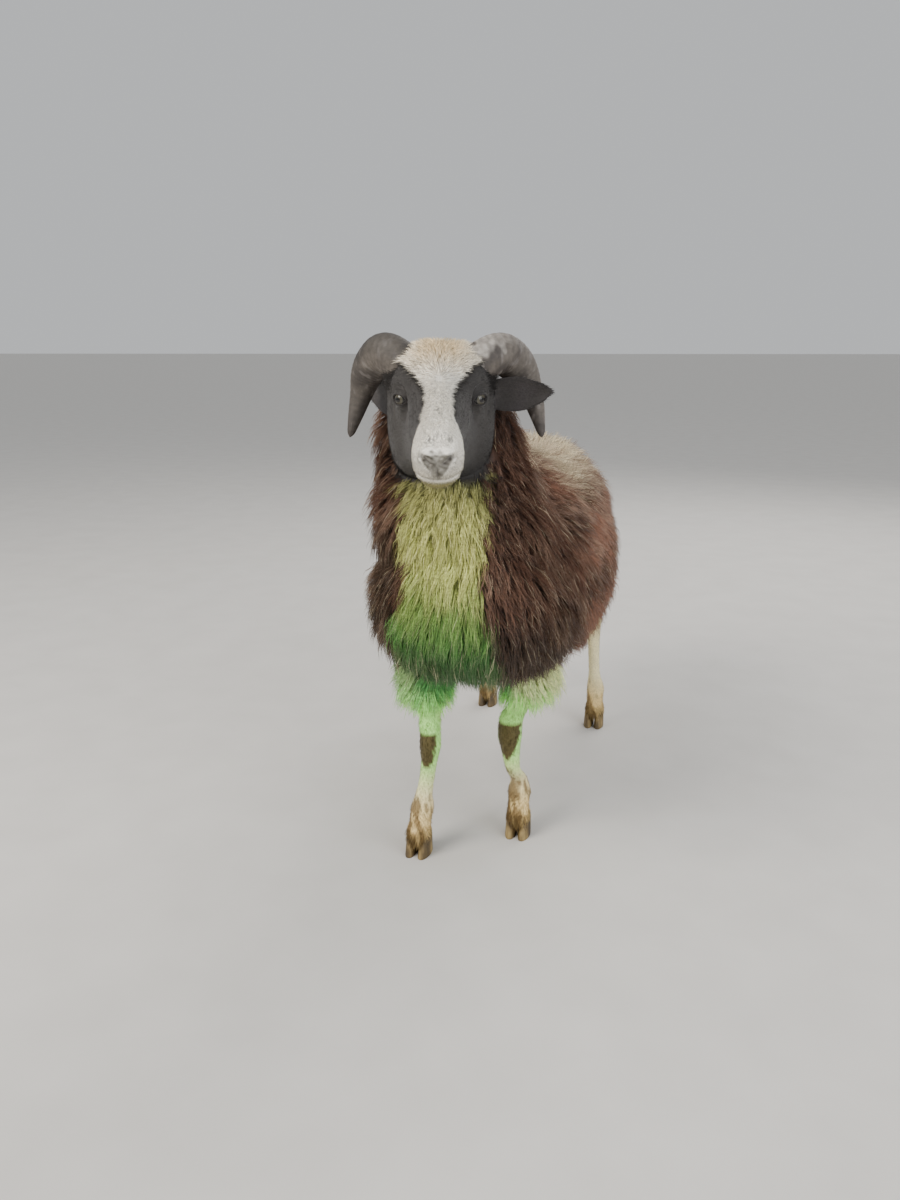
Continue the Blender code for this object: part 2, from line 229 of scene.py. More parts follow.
def in_head(places):
    """Places in the sheep's frame, given in the head's."""
    return (places - NOSE) @ HEAD.T


def smooth(values, low, high):
    """0 below low, 1 above high and a smooth slope between."""
    share = np.clip((values - low) / (high - low), 0, 1)
    return share * share * (3 - 2 * share)


def falling(values, low, high):
    """1 below low, 0 above high and a smooth slope between."""
    return 1 - smooth(values, low, high)


def bell(distance, reach):
    """1 at no distance, and next to nothing at twice the reach."""
    return np.exp(-((distance / reach) ** 2))


def unit(vectors):
    return vectors / np.maximum(np.linalg.norm(vectors, axis=-1, keepdims=True), 1e-9)


print("head axes:", HEAD.round(3).tolist())

# %% [markdown]
# ## Rings and lofts
# Limbs, trunk and horns are all tapering forms with a bent middle line. Blender could make them as a
# bevelled curve, but a curve's section is the same shape all along. A loft, whose surface runs over a row
# of rings, lets each ring have its own width, height and squareness, and a smooth curve through a short
# table of rows gives as many rings as are wanted. The grid operator makes the faces and a UV map in one
# go: its x runs round the ring and its y along the body, so the map is an unwrap of the skin's own shape.

# %% Rings and lofts
def through(rows, t):
    """The rows at each t, from 0 at the first row to 1 at the last, on a smooth curve through them all."""
    rows = np.asarray(rows, float)
    at = np.clip(t, 0, 1) * (len(rows) - 1)
    i = np.minimum(at.astype(int), len(rows) - 2)
    f = (at - i)[:, None]
    before, start, end = rows[np.maximum(i - 1, 0)], rows[i], rows[i + 1]
    after = rows[np.minimum(i + 2, len(rows) - 1)]
    bend = 2 * before - 5 * start + 4 * end - after
    twist = 3 * start - before - 3 * end + after
    return start + 0.5 * ((end - before) * f + bend * f**2 + twist * f**3)


def ovals(middle, side, up, half, rise, fall, square_up, square_down, count):
    """Rings about middles: half wide to each side, rise above, fall below. Squareness 2 is an ellipse."""
    turn = 2 * np.pi * np.arange(count + 1) / count - np.pi / 2
    half, rise, fall, square_up, square_down = (np.broadcast_to(size, (len(middle),))[:, None]
                                                for size in (half, rise, fall, square_up, square_down))
    cosine, sine = np.cos(turn), np.sin(turn)
    power = 2 / np.where(sine > 0, square_up, square_down)
    across = np.sign(cosine) * np.abs(cosine) ** power * half
    height = np.sign(sine) * np.abs(sine) ** power * np.where(sine > 0, rise, fall)
    side, up = (np.broadcast_to(v, middle.shape)[:, None] for v in (side, up))
    return middle[:, None] + side * across[..., None] + up * height[..., None]


def tube(rows, sides, steps, upward):
    """Rings square to a bent line: middle x, y, z, half width across, half width along upward."""
    t = np.linspace(0, 1, steps + 1)
    made = through(rows, t)
    before, after = through(rows, np.maximum(t - 0.01, 0)), through(rows, np.minimum(t + 0.01, 1))
    along = unit(after[:, :3] - before[:, :3])
    side = unit(np.cross(along, upward))
    return ovals(made[:, :3], side, np.cross(side, along), made[:, 3], made[:, 4], made[:, 4], 2, 2, sides)


def loft(rings, patch=(0, 0, 1, 1)):
    """A bmesh whose closed surface runs over the rings, with its UV map in a patch of the whole map."""
    ends = rings.mean(1, keepdims=True).repeat(rings.shape[1], 1)
    rings = np.concatenate((ends[:1], rings, ends[-1:]))
    steps, sides = rings.shape[0] - 1, rings.shape[1] - 1
    bm = bmesh.new()
    uv = bm.loops.layers.uv.new("OFBake")
    bmesh.ops.create_grid(bm, x_segments=sides, y_segments=steps, size=0.5, calc_uvs=True)
    for vert in bm.verts:
        column, row = round((vert.co.x + 0.5) * sides), round((vert.co.y + 0.5) * steps)
        vert.co = rings[row, column]
    for face in bm.faces:
        for corner in face.loops:
            u, v = corner[uv].uv
            corner[uv].uv = (patch[0] + u * (patch[2] - patch[0]), patch[1] + v * (patch[3] - patch[1]))
    bmesh.ops.remove_doubles(bm, verts=bm.verts, dist=1e-6)
    bmesh.ops.recalc_face_normals(bm, faces=bm.faces)
    if bm.calc_volume(signed=True) < 0:
        bmesh.ops.reverse_faces(bm, faces=bm.faces)
    return bm


def finished(name, bm, material, nodes):
    """A piece of the sheep from a bmesh, in its place, riding on the one body and replacing these nodes."""
    mesh = mesh_from(name, bm)
    mesh.transform(Matrix.Translation((0, -MIDDLE_Y, 0)))
    mesh.shade_smooth()
    mesh.materials.append(material)
    piece = put(name, mesh)
    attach(piece, "root")
    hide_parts(*nodes)
    return piece


print("a row half way down a table of two:", through([(0, 0), (1, 4)], np.array([0.5])))

# %% [markdown]
# ## Trunk, neck and tail under the wool
# The wool stands about 22 mm over the skin, so these rings are the solids' own rings drawn in by that
# much. The ends are drawn in too, by shortening the middle line about its middle.

# %% Trunk, neck and tail
def drawn_in(size, depth):
    """A half width or height less the coat's depth, but never less than a third of it."""
    return np.maximum(size - depth, 0.34 * size)


def shorter(places, depth):
    middle, reach = (places.max() + places.min()) / 2, (places.max() - places.min()) / 2
    return middle + (places - middle) * (1 - depth / reach)


WIDE_Z = BELLY_Z + 0.40 * (BACK_Z - BELLY_Z)
TRUNK = [  # y, half width, height of the widest place, top, underside
    (CHEST_Y, 0.10 * BARREL_HALF, WIDE_Z + 0.02, 0.462, 0.400),
    (CHEST_Y + 0.014, 0.46 * BARREL_HALF, WIDE_Z + 0.02, 0.505, 0.366),
    (CHEST_Y + 0.050, 0.70 * BARREL_HALF, WIDE_Z + 0.02, 0.540, 0.320),
    (CHEST_Y + 0.100, 0.82 * BARREL_HALF, WIDE_Z + 0.01, BACK_Z - 0.046, BELLY_Z + 0.026),
    (0.020, 0.90 * BARREL_HALF, WIDE_Z, BACK_Z - 0.022, BELLY_Z + 0.012),
    (0.110, 0.96 * BARREL_HALF, WIDE_Z, BACK_Z, BELLY_Z + 0.002),
    (0.240, BARREL_HALF, WIDE_Z, BACK_Z - 0.006, BELLY_Z - 0.004),
    (0.370, 0.96 * BARREL_HALF, WIDE_Z, BACK_Z - 0.008, BELLY_Z + 0.006),
    (0.470, 0.85 * BARREL_HALF, WIDE_Z + 0.01, BACK_Z - 0.012, BELLY_Z + 0.028),
    (0.550, 0.77 * BARREL_HALF, WIDE_Z + 0.02, BACK_Z - 0.026, BELLY_Z + 0.052),
    (RUMP_Y - 0.052, 0.62 * BARREL_HALF, WIDE_Z + 0.04, BACK_Z - 0.048, BELLY_Z + 0.074),
    (RUMP_Y - 0.014, 0.38 * BARREL_HALF, WIDE_Z + 0.06, BACK_Z - 0.084, BELLY_Z + 0.130),
    (RUMP_Y, 0.10 * BARREL_HALF, WIDE_Z + 0.07, 0.490, 0.440),
]
NECK = [  # middle x, y, z, half width, reach to the front, reach to the back
    (-0.047, 0.035, 0.745, 0.028, 0.022, 0.026),
    (-0.047, 0.032, 0.731, 0.068, 0.042, 0.060),
    (-0.048, 0.030, 0.700, 0.093, 0.047, 0.084),
    (-0.046, 0.030, 0.660, 0.108, 0.056, 0.098),
    (-0.038, 0.028, 0.610, 0.119, 0.078, 0.122),
    (-0.024, 0.026, 0.550, 0.130, 0.128, 0.152),
    (-0.010, 0.030, 0.490, 0.140, 0.158, 0.150),
    (0.000, 0.040, 0.430, 0.125, 0.145, 0.120),
    (0.000, 0.050, 0.390, 0.080, 0.090, 0.080),
]
TAIL = [  # x, y, z, half width, half depth
    (0, RUMP_Y - 0.050, 0.545, 0.018, 0.012),
    (0, RUMP_Y - 0.024, 0.530, 0.034, 0.022),
    (0, RUMP_Y + 0.002, 0.490, 0.042, 0.026),
    (0, RUMP_Y + 0.010, 0.430, 0.042, 0.026),
    (0, RUMP_Y + 0.006, 0.370, 0.036, 0.022),
    (0, RUMP_Y - 0.002, 0.315, 0.027, 0.017),
    (0, RUMP_Y - 0.008, 0.278, 0.010, 0.007),
]


def trunk_rings(sides, steps):
    y, half, widest, top, under = through(TRUNK, np.linspace(0, 1, steps + 1)).T
    middle = np.stack((0 * y, shorter(y, WOOL_DEPTH), widest), 1)
    sizes = [drawn_in(size, WOOL_DEPTH) for size in (half, top - widest, widest - under)]
    return ovals(middle, (1, 0, 0), (0, 0, 1), *sizes, 1.95, 2.6, sides)


def neck_rings(sides, steps):
    x, y, z, half, front, behind = through(NECK, np.linspace(0, 1, steps + 1)).T
    middle = np.stack((x, y, shorter(z, WOOL_DEPTH)), 1)
    thin = 1 - 0.42 * smooth(z, 0.58, 0.66)
    throat = 0.010 * smooth(z, 0.52, 0.58) * falling(z, 0.70, 0.74)
    sizes = [drawn_in(size, WOOL_DEPTH * thin + more)
             for size, more in ((half, 0), (behind, 0), (front, throat))]
    return ovals(middle, (-1, 0, 0), (0, 1, 0), *sizes, 2.1, 2.2, sides)


def level_rings(rows, depth, sides, steps):
    """Level rings down a leg or tail, drawn in by a depth that may change with height."""
    x, y, z, half, deep = through(rows, np.linspace(0, 1, steps + 1)).T
    under = depth(z) if callable(depth) else depth
    half, deep = drawn_in(half, under), drawn_in(deep, under)
    return ovals(np.stack((x, y, z), 1), (-1, 0, 0), (0, 1, 0), half, deep, deep, 2.1, 2.1, sides)


print("trunk rings:", trunk_rings(72, 60).shape)

# %% [markdown]
# ## Legs and ears
# Below the knee and hock the coat is short, and above it the wool starts again, so the depth grows with
# height. An ear is a flat tube whose section is bent into a trough that opens to the front, with a thick
# root and a thin tip.

# %% Legs and ears
KNEES = {"left": (0.049, 0.058), "right": (-0.0575, -0.016)}
KNEE_SLIM = {"left": 1.0, "right": 0.87}


def foreleg_rows(side):
    """Down a foreleg: middle x, y, z, half width, half depth."""
    out = SIDES[side]
    x, y = FORE_FEET[side]
    knee_x, knee_y = KNEES[side]
    slim = KNEE_SLIM[side]
    elbow_y = {"left": 0.072, "right": 0.042}[side]
    swing = elbow_y - knee_y
    return [
        (0.078 * out, elbow_y + 0.010, 0.385, 0.020, 0.025),
        (0.077 * out, elbow_y + 0.008, 0.372, 0.044, 0.056),
        (0.075 * out, elbow_y, 0.320, 0.050, 0.060),
        (0.077 * out, elbow_y - 0.15 * swing, 0.283, 0.053, 0.056),
        (0.076 * out, elbow_y - 0.35 * swing, 0.256, 0.044, 0.047),
        (0.065 * out, elbow_y - 0.65 * swing, 0.228, 0.0270, 0.0310),
        (knee_x + 0.002 * out, knee_y + 0.005, 0.203, 0.0200 * slim, 0.0225 * slim),
        (knee_x, knee_y, KNEE_Z, 0.0195 * slim, 0.0205 * slim),
        (knee_x + 0.002 * out, knee_y, KNEE_Z - 0.026, 0.0155 * slim, 0.0170 * slim),
        (knee_x + 0.006 * out, knee_y, 0.118, 0.0125, 0.0140),
        (x - 0.004 * out, y + 0.016, 0.092, 0.0140, 0.0155),
        (x - 0.002 * out, y + 0.014, FETLOCK_Z, 0.0185, 0.0195),
        (x - 0.001 * out, y + 0.007, 0.053, 0.0175, 0.0185),
        (x, y + 0.002, 0.038, 0.0185, 0.0200),
        (x, y - 0.002, 0.026, 0.0160, 0.0170),
    ]


def hindleg_rows(side):
    """Down a hind leg from the top of the thigh: middle x, y, z, half width, half depth."""
    out = SIDES[side]
    x, y = HIND_FEET[side]
    hock_y = y + 0.037
    return [
        (0.088 * out, 0.530, 0.520, 0.018, 0.030),
        (0.084 * out, 0.528, 0.505, 0.042, 0.062),
        (0.086 * out, 0.525, 0.462, 0.055, 0.086),
        (0.091 * out, 0.525, 0.415, 0.058, 0.088),
        (0.096 * out, 0.530, 0.365, 0.053, 0.078),
        (0.100 * out, 0.55 * hock_y + 0.226, 0.320, 0.043, 0.057),
        (0.101 * out, hock_y - 0.022, 0.282, 0.029, 0.039),
        (0.102 * out, hock_y - 0.006, 0.250, 0.0190, 0.0275),
        (0.104 * out, hock_y, HOCK_Z, 0.0180, 0.0250),
        (0.106 * out, hock_y, 0.192, 0.0150, 0.0195),
        (0.110 * out, hock_y - 0.008, 0.150, 0.0122, 0.0150),
        (0.114 * out, hock_y - 0.018, 0.108, 0.0125, 0.0148),
        (x - 0.002 * out, y + 0.020, FETLOCK_Z + 0.006, 0.0180, 0.0195),
        (x - 0.001 * out, y + 0.010, 0.055, 0.0170, 0.0185),
        (x, y + 0.004, 0.039, 0.0185, 0.0195),
        (x, y, 0.026, 0.0160, 0.0170),
    ]


ARM_DEPTH, THIGH_DEPTH = 0.019, 0.022
CUFF_Z, CUFF_REACH, CUFF_DEEPER = 0.226, 0.014, 0.0075


def foreleg_depth(z):
    """The coat's depth on a foreleg, deep again just above the knee, where the cuff hangs round it."""
    cuff = CUFF_DEEPER * bell(z - CUFF_Z, CUFF_REACH)
    return SHANK_DEPTH + (ARM_DEPTH - SHANK_DEPTH) * smooth(z, 0.225, 0.285) + cuff


def hindleg_depth(z):
    return SHANK_DEPTH + (THIGH_DEPTH - SHANK_DEPTH) * smooth(z, 0.255, 0.335)


# Root, middle and tip of each ear, in the head's frame: the left held out, the right laid back
EAR_LINES = {
    "left": ((0.056, 0.203, -0.002), (0.104, 0.196, 0.003), (0.147, 0.188, 0.009)),
    "right": ((-0.054, 0.202, -0.008), (-0.080, 0.248, -0.0235), (-0.108, 0.292, -0.0300)),
}
EAR_HALVES = (0.0180, 0.0220, 0.0245, 0.0250, 0.0205, 0.0125, 0.0030)
EAR_THICKNESSES = (0.0060, 0.0046, 0.0034, 0.0028, 0.0024, 0.0020, 0.0010)
EAR_HOLLOW = 0.0065


def ear_rings(side, sides, steps):
    rows = [(*from_head(place), thick, half - 0.001) for place, thick, half in
            zip(through(EAR_LINES[side], np.linspace(0, 1, 7)), EAR_THICKNESSES, EAR_HALVES)]
    rings = tube(rows, sides, steps, head_up)
    middle = rings.mean(1, keepdims=True)
    line = np.diff(from_head(EAR_LINES[side])[[0, 2]], axis=0)[0]
    front = unit(np.cross(line, head_up)) * (1 if side == "left" else -1)
    rise = (rings - middle) @ head_up
    reach = np.abs(rise).max(1, keepdims=True)
    share = np.linspace(0, 1, steps + 1)[:, None]
    hollow = EAR_HOLLOW * smooth(share, 0.0, 0.3) * falling(share, 0.75, 1.0)
    return rings + (hollow * ((rise / reach) ** 2 - 0.5))[..., None] * front


ear_steps = np.diff(EAR_LINES["left"], axis=0)
print("ear length in mm:", round(1000 * float(np.linalg.norm(ear_steps, axis=1).sum())))

# %% [markdown]
# ## Head and face
# The head gets the most care. Its rings give the long Roman profile, and a second step pushes the surface
# about where bone, muscle and lips are: each feature is a soft bell of displacement round a place in the
# head's frame. Eyes, nostrils and mouth need finer faces than the rest, so `subdivide_edges` splits the
# grid there first, which costs far less than a fine grid everywhere.

# %% Head
HEAD_ROWS = [  # back from the nose, half width, rise, fall, squareness above and below
    (0.000, 0.010, 0.006, 0.014, 2.0, 2.0),
    (0.005, 0.021, 0.013, 0.029, 2.2, 2.2),
    (0.018, 0.029, 0.021, 0.043, 2.3, 2.4),
    (0.036, 0.0315, 0.028, 0.047, 2.3, 2.4),
    (0.060, 0.0325, 0.034, 0.052, 2.2, 2.3),
    (0.090, 0.038, 0.041, 0.063, 2.2, 2.5),
    (0.120, 0.0435, 0.049, 0.077, 2.4, 2.8),
    (0.148, 0.051, 0.058, 0.096, 2.6, 3.5),
    (0.172, 0.065, 0.066, 0.114, 2.8, 4.4),
    (0.197, 0.073, 0.070, 0.118, 2.8, 4.4),
    (0.222, 0.063, 0.063, 0.088, 2.4, 2.6),
    (0.242, 0.040, 0.045, 0.055, 2.1, 2.1),
    (0.252, 0.014, 0.020, 0.020, 2.0, 2.0),
]
SWELLINGS = {  # side, back and rise of the middle, reach, height
    "brow": (0.050, 0.152, 0.036, 0.014, 0.0060),
    "eye hollow": (0.044, 0.126, 0.002, 0.016, -0.0045),
    "cheek": (0.066, 0.180, -0.050, 0.028, 0.0020),
    "bridge": (0.000, 0.085, 0.045, 0.022, 0.0025),
    "nostril": (0.014, 0.007, 0.010, 0.009, 0.0025),
    "mouth corner": (0.032, 0.045, -0.020, 0.012, -0.0030),
    "chin": (0.000, 0.028, -0.036, 0.016, 0.0030),
    "cheek bone": (0.048, 0.118, -0.016, 0.012, 0.0022),
    "under the cheek bone": (0.044, 0.105, -0.040, 0.016, -0.0025),
    "side of the nose": (0.030, 0.070, 0.006, 0.014, -0.0015),
    "upper lip": (0.027, 0.022, -0.006, 0.011, 0.0026),
}
EYE_SIDE, EYE_BACK, EYE_RISE, EYE_RADIUS = 0.0445, 0.1565, 0.012, 0.0135
GAZE = unit(np.array((0.72, -0.68, 0.14)))
EYE_LONG = unit(np.cross((0.0, 0.22, 1.0), GAZE))
EYE_TALL = np.cross(GAZE, EYE_LONG)
LID_HALF, LID_RISE, LID_THICK = 0.0120, 0.0064, 0.0014
LIP_FRONT, LIP_CORNER, CORNER_BACK = -0.0255, -0.0190, 0.046


def head_rings(sides, steps):
    back, half, rise, fall, square_up, square_down = through(HEAD_ROWS, np.linspace(0, 1, steps + 1)).T
    middle = from_head(np.stack((0 * back, back + FUR_DEPTH * (1 - back / 0.126), 0 * back), 1))
    poll = FUR_DEPTH + 0.005 * smooth(back, 0.16, 0.20)
    return ovals(middle, HEAD[0], HEAD[2], drawn_in(half, FUR_DEPTH), drawn_in(rise, poll),
                 drawn_in(fall, FUR_DEPTH), square_up, square_down, sides)


def face_shape(places):
    """The head's points, moved to the shape of the face. All in the head's frame."""
    mirror = np.where(places[:, :1] < 0, (-1.0, 1.0, 1.0), 1.0)
    p = places * mirror
    side, back, rise = p.T
    core = np.stack((0 * side, np.maximum(back, 0.03), np.interp(back, (0, 0.2), (-0.008, -0.02))), 1)
    outward = unit(p - core)
    move = np.zeros(len(p))
    for *middle, reach, height in SWELLINGS.values():
        move += height * np.exp(-((p - middle) ** 2).sum(1) / (2 * reach**2))
    # The line of the mouth, with a full lip on either side of it
    lip = np.interp(back, (0, CORNER_BACK), (LIP_FRONT, LIP_CORNER)) - rise
    fold = -0.0024 * bell(lip, 0.0013)
    fold = fold + 0.0012 * bell(lip + 0.005, 0.0035) + 0.0012 * bell(lip - 0.0045, 0.003)
    move += falling(back, CORNER_BACK - 0.006, CORNER_BACK + 0.004) * fold
    # The groove down from the nose, and the nostril with its wing
    front = falling(back, 0.010, 0.020)
    groove = front * bell(side, 0.0011) * smooth(rise, -0.026, -0.022) * falling(rise, -0.010, -0.006)
    move -= 0.0010 * groove
    cleft = nostril(side, rise)
    wing = 0.0010 * bell(cleft - 0.0048, 0.0026) * smooth(rise, -0.006, 0)
    move += front * (-0.0026 * bell(cleft, 0.0021) + wing)
    return lids(p + outward * move[:, None]) * mirror


NOSTRIL = ((0.0085, -0.0030), (0.0115, 0.0000), (0.0140, 0.0030), (0.0165, 0.0052), (0.0178, 0.0030))


def nostril(side, rise):
    """Distance from the slit of the nostril, which curls up and out from beside the groove of the lip."""
    slit = through(NOSTRIL, np.linspace(0, 1, 25))
    return np.hypot(side[:, None] - slit[:, 0], rise[:, None] - slit[:, 1]).min(1)


def lids(p):
    """Wraps the skin over the eyeball, with an almond opening between an upper and a lower lid."""
    away = p - (EYE_SIDE, EYE_BACK, EYE_RISE)
    x, y, out = away @ EYE_LONG, away @ EYE_TALL, away @ GAZE
    flat = np.hypot(x, y)
    near = falling(flat, 0.0135, 0.0225) * (out > -0.002)
    ball = np.sqrt(np.maximum(EYE_RADIUS**2 - flat**2, 0))
    cover = np.maximum(ball, EYE_RADIUS - flat**2 / (2.3 * EYE_RADIUS)) + LID_THICK
    tall = np.where(y > 0, LID_RISE, 0.86 * LID_RISE)
    opening = np.hypot(x / LID_HALF, y / tall)
    cover += 0.0010 * bell(opening - 1.15, 0.16)
    cover -= 0.0012 * bell(y - 0.0118 + x**2 * 22, 0.0013) * (np.abs(x) < 0.014)
    cover -= 0.0009 * bell(y + 0.0105 - x**2 * 22, 0.0012) * (np.abs(x) < 0.013)
    cover = np.where(opening < 1.0, np.minimum(cover, ball - 0.0045), cover)
    tear = 0.0016 * bell(y + 0.35 * (x + 0.0125), 0.0016)
    tear = tear * smooth(-x, 0.0125, 0.015) * falling(-x, 0.022, 0.030)
    return p + GAZE * (near * (cover - out) - tear * (out > 0))[:, None]


def finer(bm, near, cuts):
    """Splits the edges whose ends are both near a feature."""
    chosen = {vert.index for vert, is_near in zip(bm.verts, near) if is_near}
    edges = [edge for edge in bm.edges if all(vert.index in chosen for vert in edge.verts)]
    bmesh.ops.subdivide_edges(bm, edges=edges, cuts=cuts, use_grid_fill=True)
    bm.verts.ensure_lookup_table()
    bm.verts.index_update()


def verts_in_head(bm):
    return in_head(np.array([vert.co[:] for vert in bm.verts]))


HEAD_PATCH = (0.0, 0.51, 0.49, 1.0)
head = loft(head_rings(112, 104), HEAD_PATCH)
at = verts_in_head(head)
finer(head, at[:, 1] < 0.056, 1)
at = verts_in_head(head)
at[:, 0] = np.abs(at[:, 0])
finer(head, np.linalg.norm(at - (EYE_SIDE, EYE_BACK, EYE_RISE) - 0.009 * GAZE, axis=1) < 0.024, 3)
for vert, place in zip(head.verts, from_head(face_shape(verts_in_head(head)))):
    vert.co = place
print("faces in the head:", len(head.faces))

# %% [markdown]
# ## One skin
# A living animal has no seams where its neck meets its trunk. The lofts overlap, so an exact Boolean union
# leaves one closed surface, and a few rounds of `smooth_vert` soften the creases where two of them met.
# Each loft has its own patch of the UV map, which also tells afterwards which part a face belongs to.

# %% One skin
PATCHES = {
    "trunk": (0.0, 0.0, 0.49, 0.50), "neck": (0.50, 0.0, 0.80, 0.30), "head": HEAD_PATCH,
    "tail": (0.81, 0.0, 0.99, 0.15), "foreleg_left": (0.50, 0.31, 0.61, 0.65),
    "foreleg_right": (0.62, 0.31, 0.73, 0.65), "hindleg_left": (0.74, 0.31, 0.86, 0.65),
    "hindleg_right": (0.87, 0.31, 0.99, 0.65), "ear_left": (0.50, 0.66, 0.74, 0.82),
    "ear_right": (0.50, 0.83, 0.74, 0.99),
}
PARTS = list(PATCHES)
lofts = {
    "head": head, "trunk": loft(trunk_rings(72, 60), PATCHES["trunk"]),
    "neck": loft(neck_rings(56, 34), PATCHES["neck"]),
    "tail": loft(level_rings(TAIL, TAIL_DEPTH, 24, 22), PATCHES["tail"]),
}
for side in SIDES:
    for part, rows, depth in (("fore", foreleg_rows, foreleg_depth), ("hind", hindleg_rows, hindleg_depth)):
        name = f"{part}leg_{side}"
        lofts[name] = loft(level_rings(rows(side), depth, 30, 64), PATCHES[name])
    lofts[f"ear_{side}"] = loft(ear_rings(side, 32, 34), PATCHES[f"ear_{side}"])


def part_numbers(mesh):
    """For each face, the place in PARTS of the patch that its UVs lie in."""
    count = np.empty(len(mesh.polygons), int)
    mesh.polygons.foreach_get("loop_total", count)
    uv = np.empty(len(mesh.loops) * 2)
    mesh.uv_layers["OFBake"].data.foreach_get("uv", uv)
    face = np.repeat(np.arange(len(count)), count)
    middle = np.stack([np.bincount(face, uv[axis::2]) for axis in (0, 1)], 1) / count[:, None]
    numbers = np.zeros(len(count), int)
    for number, (u0, v0, u1, v1) in enumerate(PATCHES.values()):
        inside = (middle >= (u0 - 0.004, v0 - 0.004)).all(1) & (middle <= (u1 + 0.004, v1 + 0.004)).all(1)
        numbers[inside] = number
    return numbers


def joined(lofts):
    """The union of the lofts, as a new mesh in the sheep's frame."""
    others = bpy.data.collections.new("other parts")
    made = []
    for name, bm in lofts.items():
        made.append(bpy.data.objects.new("loft_" + name, mesh_from(name, bm)))
        home = others if len(made) > 1 else bpy.context.scene.collection
        home.objects.link(made[-1])
    union = made[0].modifiers.new("union", "BOOLEAN")
    union.operation, union.solver = "UNION", "EXACT"
    union.operand_type, union.collection = "COLLECTION", others
    shown = made[0].evaluated_get(bpy.context.evaluated_depsgraph_get())
    whole = bpy.data.meshes.new_from_object(shown)
    for part in made:
        bpy.data.objects.remove(part)
    bpy.data.collections.remove(others)
    return whole


whole = joined(lofts)
numbers = part_numbers(whole)
bm = bmesh.new()
bm.from_mesh(whole)
bm.faces.ensure_lookup_table()
seam = {vert for edge in bm.edges if len({numbers[face.index] for face in edge.link_faces}) > 1
        for vert in edge.verts}
for _ in range(2):
    seam |= {edge.other_vert(vert) for vert in seam for edge in vert.link_edges}
for _ in range(8):
    bmesh.ops.smooth_vert(bm, verts=list(seam), factor=0.5, use_axis_x=True, use_axis_y=True, use_axis_z=True)
bmesh.ops.triangulate(bm, faces=bm.faces)
print("skin faces:", len(bm.faces), "smoothed where parts meet:", len(seam),
      "open edges:", sum(not edge.is_manifold for edge in bm.edges))

# %% [markdown]
# ## Markings
# A Jacob sheep is black and white, with faded brown tips on its dark wool. One function gives the colour
# at any place, from the place alone: the skin's points and the roots of the coat both ask it, so that the
# coat and the skin under it agree. Edges wander with smooth made-up noise, a sum of sine waves in random
# directions. The green on the breast and knees is marker dye, which has run down the white wool.

# %% Colours
def paint(red, green, blue):
    """A screen colour, 0 to 255, as the linear light that shaders work in."""
    share = np.array((red, green, blue)) / 255
    return np.where(share <= 0.04045, share / 12.92, ((share + 0.055) / 1.055) ** 2.4)


def mix(first, second, share):
    share = np.asarray(share)[..., None]
    return first * (1 - share) + second * share


def wander(places, size, seed):
    """Smooth values, mostly -1 to 1, that change over about that size."""
    rng = np.random.default_rng(seed)
    waves, phases = rng.normal(size=(10, 3)) * 2.2 / size, rng.uniform(0, 2 * np.pi, 10)
    return np.sin(places @ waves.T + phases).sum(1) / 3.2


# The darkest wool colour serves as painted shade on the front of the chest and as soil on a few strands of
# the bib.
DARK_WOOL, RUSTY_WOOL, SHADE_AND_SOIL_WOOL = paint(90, 62, 48), paint(142, 102, 82), paint(52, 44, 30)
CREAM_WOOL, WEATHERED = paint(255, 240, 202), paint(176, 146, 124)
BLACK_FACE, WHITE_FACE, POLL_CREAM = paint(57, 54, 52), paint(255, 250, 238), paint(228, 206, 166)
NOSE_GREY, LID_BLACK, EAR_BLACK = paint(86, 82, 72), paint(46, 42, 41), paint(64, 60, 60)
# The slit colour is painted shade in the mouth line, the nostrils and the groove under the nose.
LIP_SHADE, SLIT_SHADE = paint(186, 178, 156), paint(62, 55, 52)
LEG_CREAM, FOOT_CREAM, MINT = paint(255, 243, 192), paint(244, 214, 150), paint(192, 255, 142)
# The mud colour also serves as painted shade up the side of each leg towards the sheep's right.
KNEE_PATCH, MUD_AND_SHADE = paint(92, 82, 46), paint(112, 84, 44)
CHIN_DYE = paint(152, 144, 88)
# Painted shade: the bib's colours are darker at its top, under the jaw, and at its foot, under the chest.
BIB_HEIGHTS = (0.30, 0.34, 0.38, 0.42, 0.46, 0.52, 0.57, 0.60)
BIB_DYES_AND_SHADE = [paint(50, 98, 46), paint(68, 122, 58), paint(98, 148, 72), paint(152, 178, 94),
            paint(200, 205, 124), paint(200, 201, 126), paint(160, 157, 98), paint(138, 133, 84)]
BIB_EDGES = [  # height, edge on the sheep's right, edge on its left
    (0.300, -0.094, 0.056), (0.359, -0.092, 0.064), (0.400, -0.072, 0.057), (0.425, -0.057, 0.050),
    (0.448, -0.064, 0.048), (0.467, -0.080, 0.047), (0.502, -0.082, 0.046), (0.535, -0.080, 0.046),
    (0.566, -0.094, 0.040), (0.600, -0.080, 0.022),
]
SADDLE_EDGE = [  # y, half width of the cream on the left, and on the right
    (0.050, 0.052, 0.040), (0.091, 0.072, 0.055), (0.110, 0.090, 0.068), (0.130, 0.104, 0.078),
    (0.150, 0.115, 0.086), (0.170, 0.124, 0.092), (0.250, 0.131, 0.098), (0.360, 0.128, 0.092),
    (0.430, 0.126, 0.076), (0.490, 0.100, 0.050), (0.540, 0.000, 0.000),
]
BLAZE = [  # back from the nose, half width of the white
    (0.000, 0.070), (0.034, 0.060), (0.046, 0.0275), (0.060, 0.0200), (0.088, 0.0155), (0.105, 0.0158),
    (0.123, 0.0195), (0.140, 0.0280), (0.157, 0.0390), (0.184, 0.0545), (0.210, 0.0640),
]
